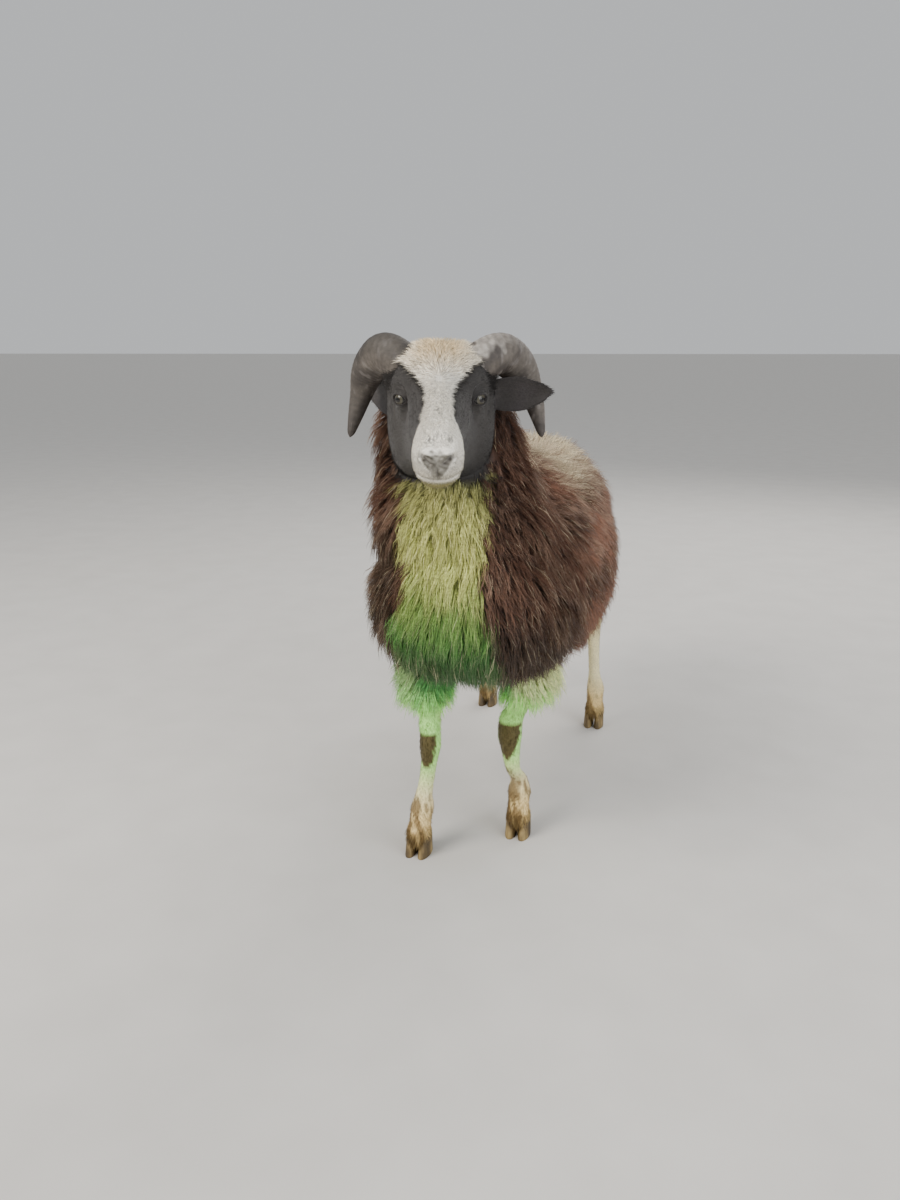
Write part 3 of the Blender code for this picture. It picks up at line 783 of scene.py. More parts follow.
SPECKLES = [  # side, back, reach and strength of each cloud of grey flecks on the nose
    (0.000, 0.068, 0.0055, 0.95), (-0.010, 0.021, 0.0080, 0.75), (0.004, 0.030, 0.0110, 0.35),
    (0.015, 0.022, 0.0070, 0.55),
]
KNEE_PATCHES = {  # middle and half width across the knee, lowest and highest place, squareness of the low end
    "left": (0.001, 0.0180, 0.138, 0.196, 2.6), "right": (-0.003, 0.0150, 0.142, 0.194, 2.4),
}
MUD_HEIGHTS = (0.028, 0.042, 0.058, 0.072, 0.088, 0.108, 0.140)
MUD_LEVELS = {"fore": (1.0, 0.3, 0.0, 0.7, 0.5, -0.5, -1.5), "hind": (0.9, 0.2, -0.3, -0.6, -1.0, -1.5, -2.0)}
CUFF_GREEN_HEIGHTS, CUFF_PALE_HEIGHTS = (0.230, 0.255, 0.290, 0.330), (0.230, 0.260, 0.310)
CUFF_GREENS = [MINT, paint(112, 186, 106), paint(78, 142, 76), paint(50, 94, 50)]
CUFF_PALES = [MINT, paint(226, 236, 176), paint(206, 202, 146)]


def along_heights(z, heights, colours):
    """The colour at each height, from a table of heights and colours."""
    return np.stack([np.interp(z, heights, channel) for channel in np.array(colours).T], 1)


def saddle_band(places):
    """How far a place belongs to the dark band across the left side of the saddle."""
    x, y, _ = places.T
    across = smooth(x, 0.030, 0.046) * falling(x, 0.104, 0.116)
    return bell(y - 0.183 + 0.004 * wander(places, 0.030, 5), 0.030) * across


def saddle_share(places):
    """How far a place belongs to the cream saddle behind the neck."""
    x, y, z = places.T
    ragged = 0.010 * wander(places, 0.030, 5) + 0.005 * wander(places, 0.010, 16)
    ys, lefts, rights = np.array(SADDLE_EDGE).T
    limit = np.where(x > 0, np.interp(y, ys, lefts), np.interp(y, ys, rights))
    share = smooth(limit - np.abs(x) + ragged, -0.005, 0.007)
    share = share * smooth(z, 0.480, 0.510) * falling(z, 0.605, 0.635)
    return share * (1 - saddle_band(places)) * smooth(y, 0.030, 0.050)


def bib_share(places):
    """How far a place belongs to the dyed bib."""
    x, y, z = places.T
    heights, rights, lefts = np.array(BIB_EDGES).T
    x = x + 0.007 * wander(places, 0.022, 7) + 0.004 * wander(places, 0.007, 8)
    inside = smooth(x - np.interp(z, heights, rights), -0.004, 0.004)
    inside *= falling(x - np.interp(z, heights, lefts), -0.004, 0.004)
    return inside * falling(y, -0.020, 0.010) * falling(z, 0.584, 0.598)


def wool_colour(places):
    """Dark wool, rusty in parts and painted with shade low in front and on the right of the chest, then the
    cream saddle and the dyed bib.
    """
    x, y, z = places.T
    band, rearward = saddle_band(places), smooth(y, 0.02, 0.16)
    wool = mix(DARK_WOOL, RUSTY_WOOL, smooth(wander(places, 0.060, 4), -0.9, 1.0) * (0.35 + 0.65 * rearward))
    # Painted shade: the wool is darkened low on the front and on the right of the chest.
    shade_low_front = falling(z, 0.33, 0.45) * falling(y, 0.00, 0.12)
    shade_right_front = smooth(-x, 0.06, 0.09) * falling(z, 0.46, 0.56) * falling(y, 0.00, 0.12)
    wool = mix(wool, SHADE_AND_SOIL_WOOL, 0.75 * np.maximum(shade_low_front, shade_right_front))
    streak = smooth(wander(places * (1, 0.35, 1), 0.012, 6), 0.20, 0.50)
    wool = mix(wool, CREAM_WOOL, saddle_share(places) * (1 - 0.75 * streak))
    frosted = smooth(wander(places * (0.6, 0.6, 0.35), 0.011, 18), 0.25, 0.80)
    wool = mix(wool, WEATHERED, 0.60 * frosted * rearward * smooth(z, 0.36, 0.48) * (1 - band))
    wool = wool * (1 - 0.35 * band)[:, None]
    dye = along_heights(z + 0.010 * wander(places, 0.03, 9), BIB_HEIGHTS, BIB_DYES_AND_SHADE)
    return mix(wool, dye, bib_share(places))


def head_colour(places):
    """The white blaze with its grey flecks on the dark face, then nose leather and lips, and painted shade in
    the mouth line, the nostril slits and the groove under the nose.
    """
    side, back, rise = in_head(places).T
    wide = np.abs(side + 0.0008 * wander(places, 0.009, 10))
    backs, halves = np.array(BLAZE).T
    soft = 0.0018 + 0.0010 * wander(places, 0.006, 11)
    white = falling(wide - np.interp(back, backs, halves), -0.0010, soft)
    white *= np.maximum(smooth(rise, 0.002, 0.010), falling(back, 0.034, 0.042))
    hair = mix(WHITE_FACE, POLL_CREAM, smooth(back, 0.125, 0.185) * (1 - 0.6 * smooth(wide, 0.015, 0.045)))
    hair = mix(hair, LIP_SHADE, 0.6 * bell(rise + 0.020, 0.008) * falling(back, 0.02, 0.04))
    hair = mix(hair, CHIN_DYE, falling(rise, -0.034, -0.025) * (1 - 0.6 * smooth(back, 0.012, 0.036)))
    fleck = smooth(wander(places, 0.0024, 25), 0.00, 0.60)
    for at_side, at_back, reach, strength in SPECKLES:
        cloud = bell(np.hypot(side - at_side, back - at_back), reach) * (rise > 0)
        hair = mix(hair, LID_BLACK, strength * cloud * fleck)
    colour = mix(BLACK_FACE, hair, white)
    leather = falling(back, 0.010, 0.018) * smooth(rise, -0.0245, -0.019)
    leather *= falling(wide - np.minimum(0.0040 + 0.58 * (rise + 0.022), 0.0175), -0.0015, 0.0030)
    leather *= falling(rise + 0.003 * wander(places, 0.005, 19), 0.006, 0.012)
    colour = mix(colour, NOSE_GREY, leather * (0.84 + 0.12 * wander(places, 0.0035, 20)))
    # Painted shade: the line of the mouth, the slits of the nostrils and the groove under the nose are
    # darkened.
    lip = rise - np.interp(back, (0, CORNER_BACK), (LIP_FRONT, LIP_CORNER))
    dark = 0.55 * bell(lip, 0.0012) * (back < CORNER_BACK)
    dark = np.maximum(dark, 0.60 * bell(nostril(np.abs(side), rise), 0.0030) * (back < 0.018))
    dark = np.maximum(dark, 0.5 * bell(side, 0.0012) * (back < 0.012) * (rise > -0.026) * (rise < -0.010))
    return mix(colour, SLIT_SHADE, dark)


def leg_colour(places, side, fore):
    """Down a leg: wool, dyed or not, then cream, a dark knee patch and mud towards the hoof, with painted
    shade in the mud's colour up the side towards the sheep's right.
    """
    x, y, z = places.T
    out = SIDES[side]
    hair = mix(FOOT_CREAM, LEG_CREAM, smooth(z, 0.050, 0.110))
    spots = wander(places * (1, 1, 0.45), 0.0065, 12)
    foot_x = (FORE_FEET if fore else HIND_FEET)[side][0]
    level = np.interp(z, MUD_HEIGHTS, MUD_LEVELS["fore" if fore else "hind"])
    # Painted shade: the mud colour reaches higher on the side of each leg towards the sheep's right (-x).
    level = level - 0.7 * np.clip((x - foot_x) / 0.018, -1, 1)
    mud = smooth(level + 0.8 * spots, -0.1, 0.7)
    if not fore:
        hair = mix(hair, MUD_AND_SHADE, 0.8 * mud)
        return mix(hair, wool_colour(places), smooth(z + 0.010 * wander(places, 0.02, 13), 0.278, 0.300))
    knee_x, knee_y = KNEES[side]
    hair = mix(hair, MINT, smooth(z, 0.085, 0.160) * (1 - 0.3 * smooth(y, knee_y, knee_y + 0.02)))
    hair = mix(hair, MUD_AND_SHADE, 0.8 * mud)
    wavy = 0.0015 * wander(places, 0.008, 14)
    middle, half, low, high, taper = KNEE_PATCHES[side]
    down = np.clip((high - z) / (high - low), 0, 1)
    edge = half * np.sqrt(1 - down**taper) - np.abs((knee_x - x) * out - middle)
    patch = smooth(edge + wavy, -0.001, 0.001)
    patch *= falling(z, high, high + 0.004) * (z > low) * falling(y, knee_y + 0.004, knee_y + 0.012)
    hair = mix(hair, KNEE_PATCH, patch)
    green = along_heights(z, CUFF_GREEN_HEIGHTS, CUFF_GREENS)
    pale = along_heights(z, CUFF_PALE_HEIGHTS, CUFF_PALES)
    outward = (x - knee_x) * out
    outer = smooth(outward, 0.000, 0.022) if side == "left" else 0.35 * smooth(outward, 0.010, 0.030)
    cuff = mix(green, pale, outer)
    dark = smooth(z + 0.014 * wander(places, 0.02, 15), 0.300, 0.318) * smooth(outward, 0.0, 0.015)
    cuff = mix(cuff, wool_colour(places), dark)
    return mix(hair, cuff, smooth(z, 0.226, 0.242))


def markings(places, part):
    """The colour at each place, from the place and the part of the body that it is on."""
    colour = wool_colour(places)
    side, back, _ = in_head(places).T
    under_jaw = falling(np.abs(side), 0.064, 0.070) * smooth(back, 0.10, 0.12)
    under_jaw = under_jaw * falling(back, 0.225, 0.240) * smooth(places[:, 2], 0.570, 0.580)
    colour = mix(colour, BLACK_FACE, under_jaw * (part == PARTS.index("neck")))
    for number, name in enumerate(PARTS):
        chosen = part == number
        if not chosen.any():
            continue
        there = places[chosen]
        if name == "head":
            colour[chosen] = head_colour(there)
        elif name.startswith("ear"):
            colour[chosen] = mix(EAR_BLACK, BLACK_FACE, 0.3 + 0.3 * wander(there, 0.02, 17))
        elif "leg" in name:
            colour[chosen] = leg_colour(there, name.split("_")[1], name.startswith("fore"))
        elif name == "tail":
            colour[chosen] = mix(colour[chosen], CREAM_WOOL, falling(there[:, 2], 0.315, 0.350))
    return colour


print("dark wool in linear light:", DARK_WOOL.round(3).tolist())

# %% [markdown]
# ## Skin material
# Where the hair is a few millimetres long, on face, ears and shanks, a lens sees it as a fine nap. Noise
# stretched along the skin's own map makes that nap as a bump, since the map's second axis runs along each
# part, the way the hair lies. The colour comes from an attribute painted on the skin's points.

# %% Skin
def mottled(material, scale, low, high, stretch=(1, 1, 1)):
    """The painted colour of the coat, times noise between two brightnesses, as the base colour."""
    source = new_node(material, "Attribute")
    source.attribute_name = "coat colour"
    noise = add_noise(material, scale, 3, stretch)
    shade = add_ramp(material, noise, [(0.32, (low,) * 3), (0.68, (high,) * 3)])
    times = new_node(material, "Mix", [("Factor", 1)])
    times.data_type, times.blend_type = "RGBA", "MULTIPLY"
    wire(material, source.outputs["Color"], times.inputs[6])
    wire(material, shade, times.inputs[7])
    wire(material, times.outputs[2], shader_of(material).inputs["Base Color"])


hide = new_material("haired skin", 0.62, [("Specular IOR Level", 0.25), ("Sheen Weight", 0.15)])
mottled(hide, 420, 0.78, 1.12)
map_node = new_node(hide, "UVMap")
map_node.uv_map = "OFBake"
lie_node = new_node(hide, "Mapping", [("Scale", (520, 90, 1))])
nap = new_node(hide, "TexNoise", [("Scale", 1), ("Detail", 3)])
wire(hide, map_node.outputs["UV"], lie_node.inputs["Vector"])
wire(hide, lie_node.outputs["Vector"], nap.inputs["Vector"])
add_bump(hide, nap.outputs["Fac"], 0.55, 0.0012)


def paint_points(mesh, colours):
    layer = mesh.color_attributes.new("coat colour", "FLOAT_COLOR", "POINT")
    rgba = np.ones((len(colours), 4), np.float32)
    rgba[:, :3] = colours
    layer.data.foreach_set("color", rgba.ravel())


def numbers_from(items, name, kind, width):
    found = np.empty(len(items) * width, kind)
    items.foreach_get(name, found)
    return found.reshape(-1, width)


probe = bpy.data.meshes.new("bare skin")
bm.to_mesh(probe)
skin_face_part = part_numbers(probe)
skin_points = numbers_from(probe.vertices, "co", float, 3)
skin_normals = numbers_from(probe.vertices, "normal", float, 3)
skin_faces = numbers_from(probe.polygons, "vertices", int, 3)
skin_uv = numbers_from(probe.uv_layers["OFBake"].data, "uv", float, 2).reshape(-1, 3, 2)
skin_point_part = np.zeros(len(skin_points), int)
skin_point_part[skin_faces] = skin_face_part[:, None]
FLESH = ["head", "neck", "trunk", "tail"]
FLESH += [f"{part}_{side}" for part in ("foreleg", "hindleg", "ear") for side in SIDES]
skin = finished("skin", bm, hide, FLESH)


def lid_opening(places):
    """How far each place is from the middle of its eye, 1 on the rim of the lids, and if it is outside."""
    away = in_head(places)
    away[:, 0] = np.abs(away[:, 0])
    away -= (EYE_SIDE, EYE_BACK, EYE_RISE)
    return np.hypot(away @ EYE_LONG / LID_HALF, away @ EYE_TALL / LID_RISE), away @ GAZE > 0


WHORL_BACK = 0.130

skin_colours = markings(skin_points, skin_point_part)
opening, outside = lid_opening(skin_points)
lid_rim = (skin_point_part == PARTS.index("head")) * falling(opening, 1.15, 1.5) * outside
skin_colours = mix(skin_colours, LID_BLACK, lid_rim)
# The crown of hair on the brow parts over darker skin
from_whorl = np.linalg.norm(in_head(skin_points)[:, :2] - (0, WHORL_BACK), axis=1)
skin_colours *= (1 - 0.35 * bell(from_whorl, 0.014) * (skin_points[:, 2] > 0.62))[:, None]
# Painted shade: skin under the wool is darkened to about half, less under the pale bib, so gaps between the
# locks read as shade.
wooled = np.isin(skin_point_part, [PARTS.index(name) for name in ("trunk", "neck", "tail")])
skin_colours[wooled] *= (0.55 + 0.45 * bib_share(skin_points[wooled]))[:, None]
paint_points(skin.data, skin_colours)
print("skin triangles:", len(skin_faces))

# %% [markdown]
# ## Eyes
# A sheep's eye is a dark ball about 27 mm across, with a dull olive iris and a pupil that is a level slot.
# A sphere operator makes the ball with a pole at its front, where the clear cornea swells out a little. A
# map of its own, flat across the gaze, lets nodes draw iris and pupil as sharp as the render needs, which
# faces of this size couldn't.

# %% Eyes
IRIS_HALF, PUPIL_LONG, PUPIL_TALL, CORNEA_SWELL = 0.0078, 0.0046, 0.0024, 0.0011
IRIS_TONES = [(0.20, paint(34, 31, 26)), (0.50, paint(56, 51, 40)), (0.80, paint(86, 82, 68)),
              (0.93, paint(90, 87, 75)), (1.0, paint(24, 21, 20))]
PUPIL_BLACK = paint(10, 8, 9)

amber = new_material("wet amber eye", 0.10, [("Specular IOR Level", 0.4), ("Coat Weight", 0.2),
                                             ("Coat Roughness", 0.03)])


def calc(operation, first, second=None):
    """A Math node on two numbers, each a socket or a plain value."""
    node = new_node(amber, "Math")
    node.operation = operation
    for socket, value in zip(node.inputs, (first, second)):
        if isinstance(value, (int, float)):
            socket.default_value = value
        elif value is not None:
            wire(amber, value, socket)
    return node.outputs[0]


def super_power(value, half):
    """The cube of a distance as a share of half a length, a term of a rounded box."""
    return calc("POWER", calc("ABSOLUTE", calc("DIVIDE", value, 0.5 * half / EYE_RADIUS)), 3.0)


def iris_nodes():
    """Rings and fibres of the iris and the slot of the pupil, over the map named gaze."""
    gaze, parts = new_node(amber, "UVMap"), new_node(amber, "SeparateXYZ")
    gaze.uv_map = "gaze"
    wire(amber, gaze.outputs["UV"], parts.inputs["Vector"])
    x, y = (calc("SUBTRACT", parts.outputs[axis], 0.5) for axis in "XY")
    reach = calc("SQRT", calc("ADD", calc("MULTIPLY", x, x), calc("MULTIPLY", y, y)))
    join, fibre = new_node(amber, "CombineXYZ"), new_node(amber, "TexNoise", [("Scale", 1.6)])
    wire(amber, calc("MULTIPLY", calc("ARCTAN2", y, x), 9.0), join.inputs["X"])
    wire(amber, calc("MULTIPLY", reach, 6.0), join.inputs["Y"])
    wire(amber, join.outputs["Vector"], fibre.inputs["Vector"])
    blurred = calc("ADD", reach, calc("MULTIPLY", fibre.outputs["Fac"], 0.05))
    iris = add_ramp(amber, calc("DIVIDE", blurred, 0.5 * IRIS_HALF / EYE_RADIUS + 0.025), IRIS_TONES)
    slot = calc("ADD", super_power(x, PUPIL_LONG), super_power(y, PUPIL_TALL))
    edge = new_node(amber, "MapRange", [("From Min", 0.8), ("From Max", 1.25)])
    wire(amber, slot, edge.inputs["Value"])
    blend = new_node(amber, "Mix", [(6, (*PUPIL_BLACK, 1))])
    blend.data_type = "RGBA"
    wire(amber, edge.outputs["Result"], blend.inputs["Factor"])
    wire(amber, iris, blend.inputs[7])
    wire(amber, blend.outputs[2], shader_of(amber).inputs["Base Color"])


iris_nodes()


def eyeball(side):
    """A ball whose pole looks along the gaze, with a low cornea."""
    out = SIDES[side]
    bm = bmesh.new()
    bmesh.ops.create_uvsphere(bm, u_segments=64, v_segments=40, radius=EYE_RADIUS)
    flip = np.array((out, 1, 1))
    long, tall, gaze = (from_head(v * flip) - NOSE for v in (EYE_LONG, EYE_TALL, GAZE))
    middle = from_head(np.array((EYE_SIDE, EYE_BACK, EYE_RISE)) * flip)
    places = bm.loops.layers.uv.new("gaze")
    for face in bm.faces:
        for corner in face.loops:
            corner[places].uv = 0.5 + 0.5 * np.array(corner.vert.co.xy) / EYE_RADIUS
    for vert in bm.verts:
        x, y, z = vert.co
        swell = CORNEA_SWELL * max(0.0, 1 - (x * x + y * y) / IRIS_HALF**2) * (z > 0)
        vert.co = middle + (long * x + tall * y + gaze * z) * (1 + swell / EYE_RADIUS)
    bmesh.ops.recalc_face_normals(bm, faces=bm.faces)
    return finished(f"eyeball_{side}", bm, amber, [f"eye_{side}"])


eyes = [eyeball(side) for side in SIDES]
print("eyes:", [(eye.name, len(eye.data.polygons)) for eye in eyes])

# %% [markdown]
# ## Horns
# A horn grows in rings from its root, so a loft along its curl can carry the rings as small swellings of
# each section, closer towards the tip. Old horn near the skull is whitish and mottled, and the rest is dark
# grey with light scratches. Those tones are painted on the points; the finest grain is a bump.

# %% Horns
HORN_SPREADS = {"left": (0.036, 0.058, 0.080, 0.0985, 0.113, 0.1245, 0.133, 0.1385),
                "right": (0.036, 0.055, 0.074, 0.090, 0.1025, 0.1105, 0.119, 0.126)}
HORN_BACKS = (0.188, 0.204, 0.222, 0.236, 0.242, 0.236, 0.220, 0.203)
HORN_RISES = (0.036, 0.047, 0.047, 0.030, 0.008, -0.016, -0.042, -0.064)
HORN_HALVES = (0.024, 0.027, 0.028, 0.0268, 0.0222, 0.0160, 0.0102, 0.0042)
HORN_RINGS = 27
HORN_DARK, HORN_DARKER, HORN_PALE, HORN_SCRATCH = (
    paint(102, 95, 88), paint(76, 70, 66), paint(176, 170, 162), paint(128, 122, 118))

horn_grey = new_material("ridged horn", 0.60, [("Specular IOR Level", 0.35)])
mottled(horn_grey, 160, 0.80, 1.18)
add_bump(horn_grey, add_noise(horn_grey, 260, 5, (1, 1, 2.4)), 0.45, 0.0012)


def horn(side):
    """A horn in its place, its rings as swellings of a loft and its tones painted on the points."""
    rows = [(*from_head((SIDES[side] * out, back, rise)), half, 0.88 * half) for out, back, rise, half
            in zip(HORN_SPREADS[side], HORN_BACKS, HORN_RISES, HORN_HALVES)]
    sides, steps = 56, 230
    rings = tube(rows, sides, steps, head_back)
    middle = rings.mean(1, keepdims=True)
    share = np.linspace(0, 1, steps + 1)[:, None]
    turn = 2 * np.pi * np.arange(sides + 1) / sides
    wobble = 0.05 * np.sin(2 * turn + 5 * share) + 0.03 * np.sin(3 * turn - 11 * share)
    phase = HORN_RINGS * share ** 0.86 + wobble * 3
    ridge = np.abs(np.sin(np.pi * phase)) ** 0.7 - 0.55
    keel = 0.02 * np.cos(2 * turn) + 0.012 * np.sin(7 * turn + 9 * share) * smooth(1 - share, 0.1, 0.5)
    swell = 1 + ridge * 0.018 * smooth(1 - share, 0.02, 0.25) + keel - 0.012
    swell = swell * np.sqrt(1 - 0.97 * smooth(share, 0.93, 1.0) ** 2)
    rings = middle + (rings - middle) * swell[..., None]
    made = finished(f"curled_horn_{side}", loft(rings), horn_grey, [f"horn_{side}"])
    points = numbers_from(made.data.vertices, "co", float, 3) + (0, MIDDLE_Y, 0)
    near = np.array([np.argmin(((middle[:, 0] - point) ** 2).sum(1)) for point in points]) / steps
    up_face = (points - middle[(near * steps).astype(int), 0]) @ head_up
    tone = mix(HORN_DARK, HORN_DARKER, smooth(wander(points, 0.030, 21), -0.6, 0.8))
    pale = (1 if side == "left" else 0.10) * falling(near, 0.16, 0.30)
    pale = pale * smooth(up_face + 0.008 * wander(points, 0.012, 22), 0.010, 0.020)
    tone = mix(tone, HORN_PALE, pale * (0.45 + 0.4 * smooth(wander(points, 0.008, 23), -0.3, 0.5)))
    scratch = smooth(wander(points * (1, 1, 0.5), 0.007, 24), 0.75, 1.0)
    tone = mix(tone, HORN_SCRATCH, 0.45 * scratch)
    # Painted shade: the upward faces of the right horn are darkened.
    if side == "right":
        tone = tone * (1 - 0.48 * smooth(up_face, -0.004, 0.016))[:, None]
    # Painted shade: the tone is darker in the grooves between the rings than on the ridges.
    groove = 0.5 - 0.5 * np.cos(2 * np.pi * HORN_RINGS * near ** 0.86)
    paint_points(made.data, tone * (0.94 + 0.08 * groove)[:, None])
    return made


horns = [horn(side) for side in SIDES]
print("horns:", [(piece.name, len(piece.data.polygons)) for piece in horns])

# %% [markdown]
# ## Hooves
# Each foot stands on two claws, flat underneath, with a rounder outer wall and a sloping toe, and carries
# two small studs behind the fetlock. They are lofts of level rings, with fine growth lines and a bevelled
# look at the crown from a last, smaller ring.

# %% Hooves
HOOF_TONES = [(0.30, paint(54, 43, 26)), (0.5, paint(96, 78, 45)), (0.70, paint(160, 136, 86))]

hoof_horn = new_material("worn hoof", 0.55)
hoof_tint = add_ramp(hoof_horn, add_noise(hoof_horn, 55, 5, (1, 1, 0.35)), HOOF_TONES)
wire(hoof_horn, hoof_tint, shader_of(hoof_horn).inputs["Base Color"])
add_bump(hoof_horn, add_noise(hoof_horn, 90, 3, (0.6, 0.6, 6)), 0.5, 0.0010)


def claw_rings(x, y, out):
    """Level rings of one claw, from its sole up to its crown."""
    shares = np.concatenate(([0, 0.004], np.linspace(0.03, 0.94, 16), [0.985, 1.0]))
    length = np.interp(shares, (0, 0.35, 0.7, 1), (1, 0.88, 0.74, 0.60))
    width = np.interp(shares, (0, 0.35, 0.7, 1), (1, 0.97, 0.92, 0.80))
    rounded = np.interp(shares, (0, 0.004, 0.03, 0.94, 0.985, 1), (0.955, 0.985, 1, 1, 0.97, 0.88))
    lines = 1 + 0.006 * np.sin(2 * np.pi * 7 * shares)
    half, wall = 0.5 * length * CLAW_LENGTH * rounded * lines, 0.5 * width * CLAW_WIDTH * rounded * lines
    middle = np.stack((0 * shares + x, y + 0.5 * (1 - length) * CLAW_LENGTH * 0.7, shares * CLAW_HEIGHT), 1)
    rings = ovals(middle, (0, -out, 0), (out, 0, 0), half, wall, wall, 2.2, 4.0, 36)
    toe = np.maximum(0, (middle[:, None, 1] - rings[..., 1]) / half[:, None])
    rings[..., 0] = x + (rings[..., 0] - x) * (1 - 0.35 * toe**2)
    return rings


STUD_SIDE, STUD_Z = 0.0078, 0.062
STUD_BACKS = {"fore": 0.028, "hind": 0.034}
STUD_ROWS = (  # across to the outside, back, rise and half width
    (0, -0.007, 0.006, 0.0050), (0.001, 0.003, 0.001, 0.0048), (0.002, 0.007, -0.007, 0.0028),
)

feet = []
for kind, places in (("fore", FORE_FEET), ("hind", HIND_FEET)):
    for side, (x, y) in places.items():
        for where, out in (("outer", SIDES[side]), ("inner", -SIDES[side])):
            name = f"{kind}_{side}_{where}"
            claw = loft(claw_rings(x + out * 0.5 * (CLAW_WIDTH + CLAW_GAP), y, out))
            feet.append(finished(f"hoof_{name}", claw, hoof_horn, [f"claw_{name}"]))
            stud = (x + STUD_SIDE * out, y + STUD_BACKS[kind], STUD_Z, 0, 0)
            rows = [np.add(stud, (across * out, back, rise, half, half))
                    for across, back, rise, half in STUD_ROWS]
            stud = loft(tube(rows, 16, 12, (1, 0, 0)))
            feet.append(finished(f"stud_{name}", stud, hoof_horn, [f"dewclaw_{name}"]))
print("pieces of hoof:", len(feet))

# %% [markdown]
# ## Where the coat grows
# Every lock starts at a root on the skin. Roots are drawn at random over the skin's triangles, more where
# the weight is greater, with an even step through the running total so that no bare gaps are left. Each
# root keeps the skin's normal, its place on the skin's map and the part that it grows on.

# %% Roots
rng = np.random.default_rng(20)
corners = skin_points[skin_faces]
face_edges = corners[:, 1:] - corners[:, :1]
face_areas = np.linalg.norm(np.cross(face_edges[:, 0], face_edges[:, 1]), axis=1) / 2
face_middles = corners.mean(1)


def roots(weights, count):
    """Places, normals, map places and parts of so many roots, more where the weight per area is greater."""
    total = np.cumsum(face_areas * weights)
    at = (np.arange(count) + rng.random(count)) / count * total[-1]
    chosen = np.minimum(np.searchsorted(total, at), len(total) - 1)
    rng.shuffle(chosen)
    first, second = rng.random((2, count))
    over = first + second > 1
    first[over], second[over] = 1 - first[over], 1 - second[over]
    share = np.stack((1 - first - second, first, second), 1)[:, :, None]
    return ((skin_points[skin_faces[chosen]] * share).sum(1),
            unit((skin_normals[skin_faces[chosen]] * share).sum(1)),
            (skin_uv[chosen] * share).sum(1), skin_face_part[chosen])


def is_part(part, *names):
    return np.isin(part, [number for number, name in enumerate(PARTS) if name.split("_")[0] in names])


print("skin area in square metres:", round(float(face_areas.sum()), 2))

# %% [markdown]
# ## How the coat lies
# Hair runs away from the nose over the face, out from the midline of the back, down the sides, down the
# legs and out to the tips of the ears. A direction is written for each part, then pressed flat on the skin
# by taking away what points along the normal.

# %% Lie of the coat
def turned(along, normal, angle, size=1):
    """The direction along the skin turned about the normal, as long as size."""
    return along * (size * np.cos(angle))[:, None] + np.cross(normal, along) * (size * np.sin(angle))[:, None]


def lie(places, normals, part):
    """The way the coat lies at each root, along the skin."""
    x, y, z = places.T
    side, back, rise = in_head(places).T
    hand = np.clip(side / 0.012, -1, 1)
    flow = np.stack(((0.16 + 0.69 * smooth(y, -0.08, 0.08)) * np.clip(x / 0.07, -1, 1),
                     0.05 + 0.67 * smooth(y, -0.02, 0.16), -0.85 + 0 * x), 1)
    on_neck = is_part(part, "neck")
    outward = (0.10 + 0.35 * smooth(z, 0.58, 0.68)) * (1 - 0.6 * bib_share(places))
    outward = outward + 0.25 * smooth(y, -0.08, 0.02)
    backward = 0.05 + 0.55 * smooth(y, 0.02, 0.12)
    neck_flow = np.stack((outward * np.clip((x + 0.03) / 0.10, -1, 1), backward, -1 + 0 * x), 1)
    flow[on_neck] = neck_flow[on_neck]
    on_leg = is_part(part, "foreleg", "hindleg", "tail")
    flow[on_leg] = (0, 0.16, -1)
    flow[on_leg, 0] = np.where(x[on_leg] > 0, 0.24, -0.60) * smooth(z[on_leg], 0.24, 0.29)
    flow[is_part(part, "tail"), 0] *= 0.3
    on_head = is_part(part, "head")
    cheek = smooth(-rise, -0.020, 0.030)
    whorl = np.clip((back - WHORL_BACK) / 0.022, -1, 1) * (1 - cheek) + cheek
    head_flow = np.stack((hand * (0.25 + 0.65 * smooth(back, 0.06, 0.13)) * (1 - cheek) + 0.1 * hand,
                          0.9 * whorl, -cheek * (0.45 + 0.5 * smooth(-rise, 0.07, 0.11))), 1) @ HEAD
    flow[on_head] = head_flow[on_head]
    for side_name in SIDES:
        on_ear = part == PARTS.index(f"ear_{side_name}")
        root, _, tip = EAR_LINES[side_name]
        flow[on_ear] = (np.subtract(tip, root)) @ HEAD
    flow = unit(flow)
    flow = flow - (flow * normals).sum(1, keepdims=True) * normals
    return unit(flow + 1e-6)


on_back = lie(np.array([[0.0, 0.3, 0.6]]), np.array([[0, 0, 1.0]]), np.array([PARTS.index("trunk")]))
print("lie at the middle of the back:", on_back.round(2))

# %% [markdown]
# ## One lock
# A hair is far too thin to model, so each strand here stands for a dozen: a closed three-sided spike about
# 1.1 mm wide that rises from the skin, bends over with its own weight and ends in a point. Eight strands
# whose tips draw together make a lock; three of them have one more bend than the other five, and the spikes
# of face and shanks have none. Blender's hair system could grow them, but its curves wouldn't survive as
# plain mesh, so arrays of numbers place the rings of all the strands of a piece at once. Each strand is
# painted darker at the root, as shade, and a little lighter at the tip, as light; dark wool also fades at its
# tips, where sun and rain have bleached it.

# %% Strands
STATIONS = {"long": (0.0, 0.36, 0.72, 1.0), "short": (0.0, 0.5, 1.0), "spike": (0.0, 1.0)}
PROFILES = {"long": np.array((0.75, 1.0, 0.62)), "short": np.array((0.95, 0.80)), "spike": np.array((1.0,))}
ARCH = 0.48  # how far a strand bends over from its first direction
PATCH = 0.003  # the size of each strand's patch of the map


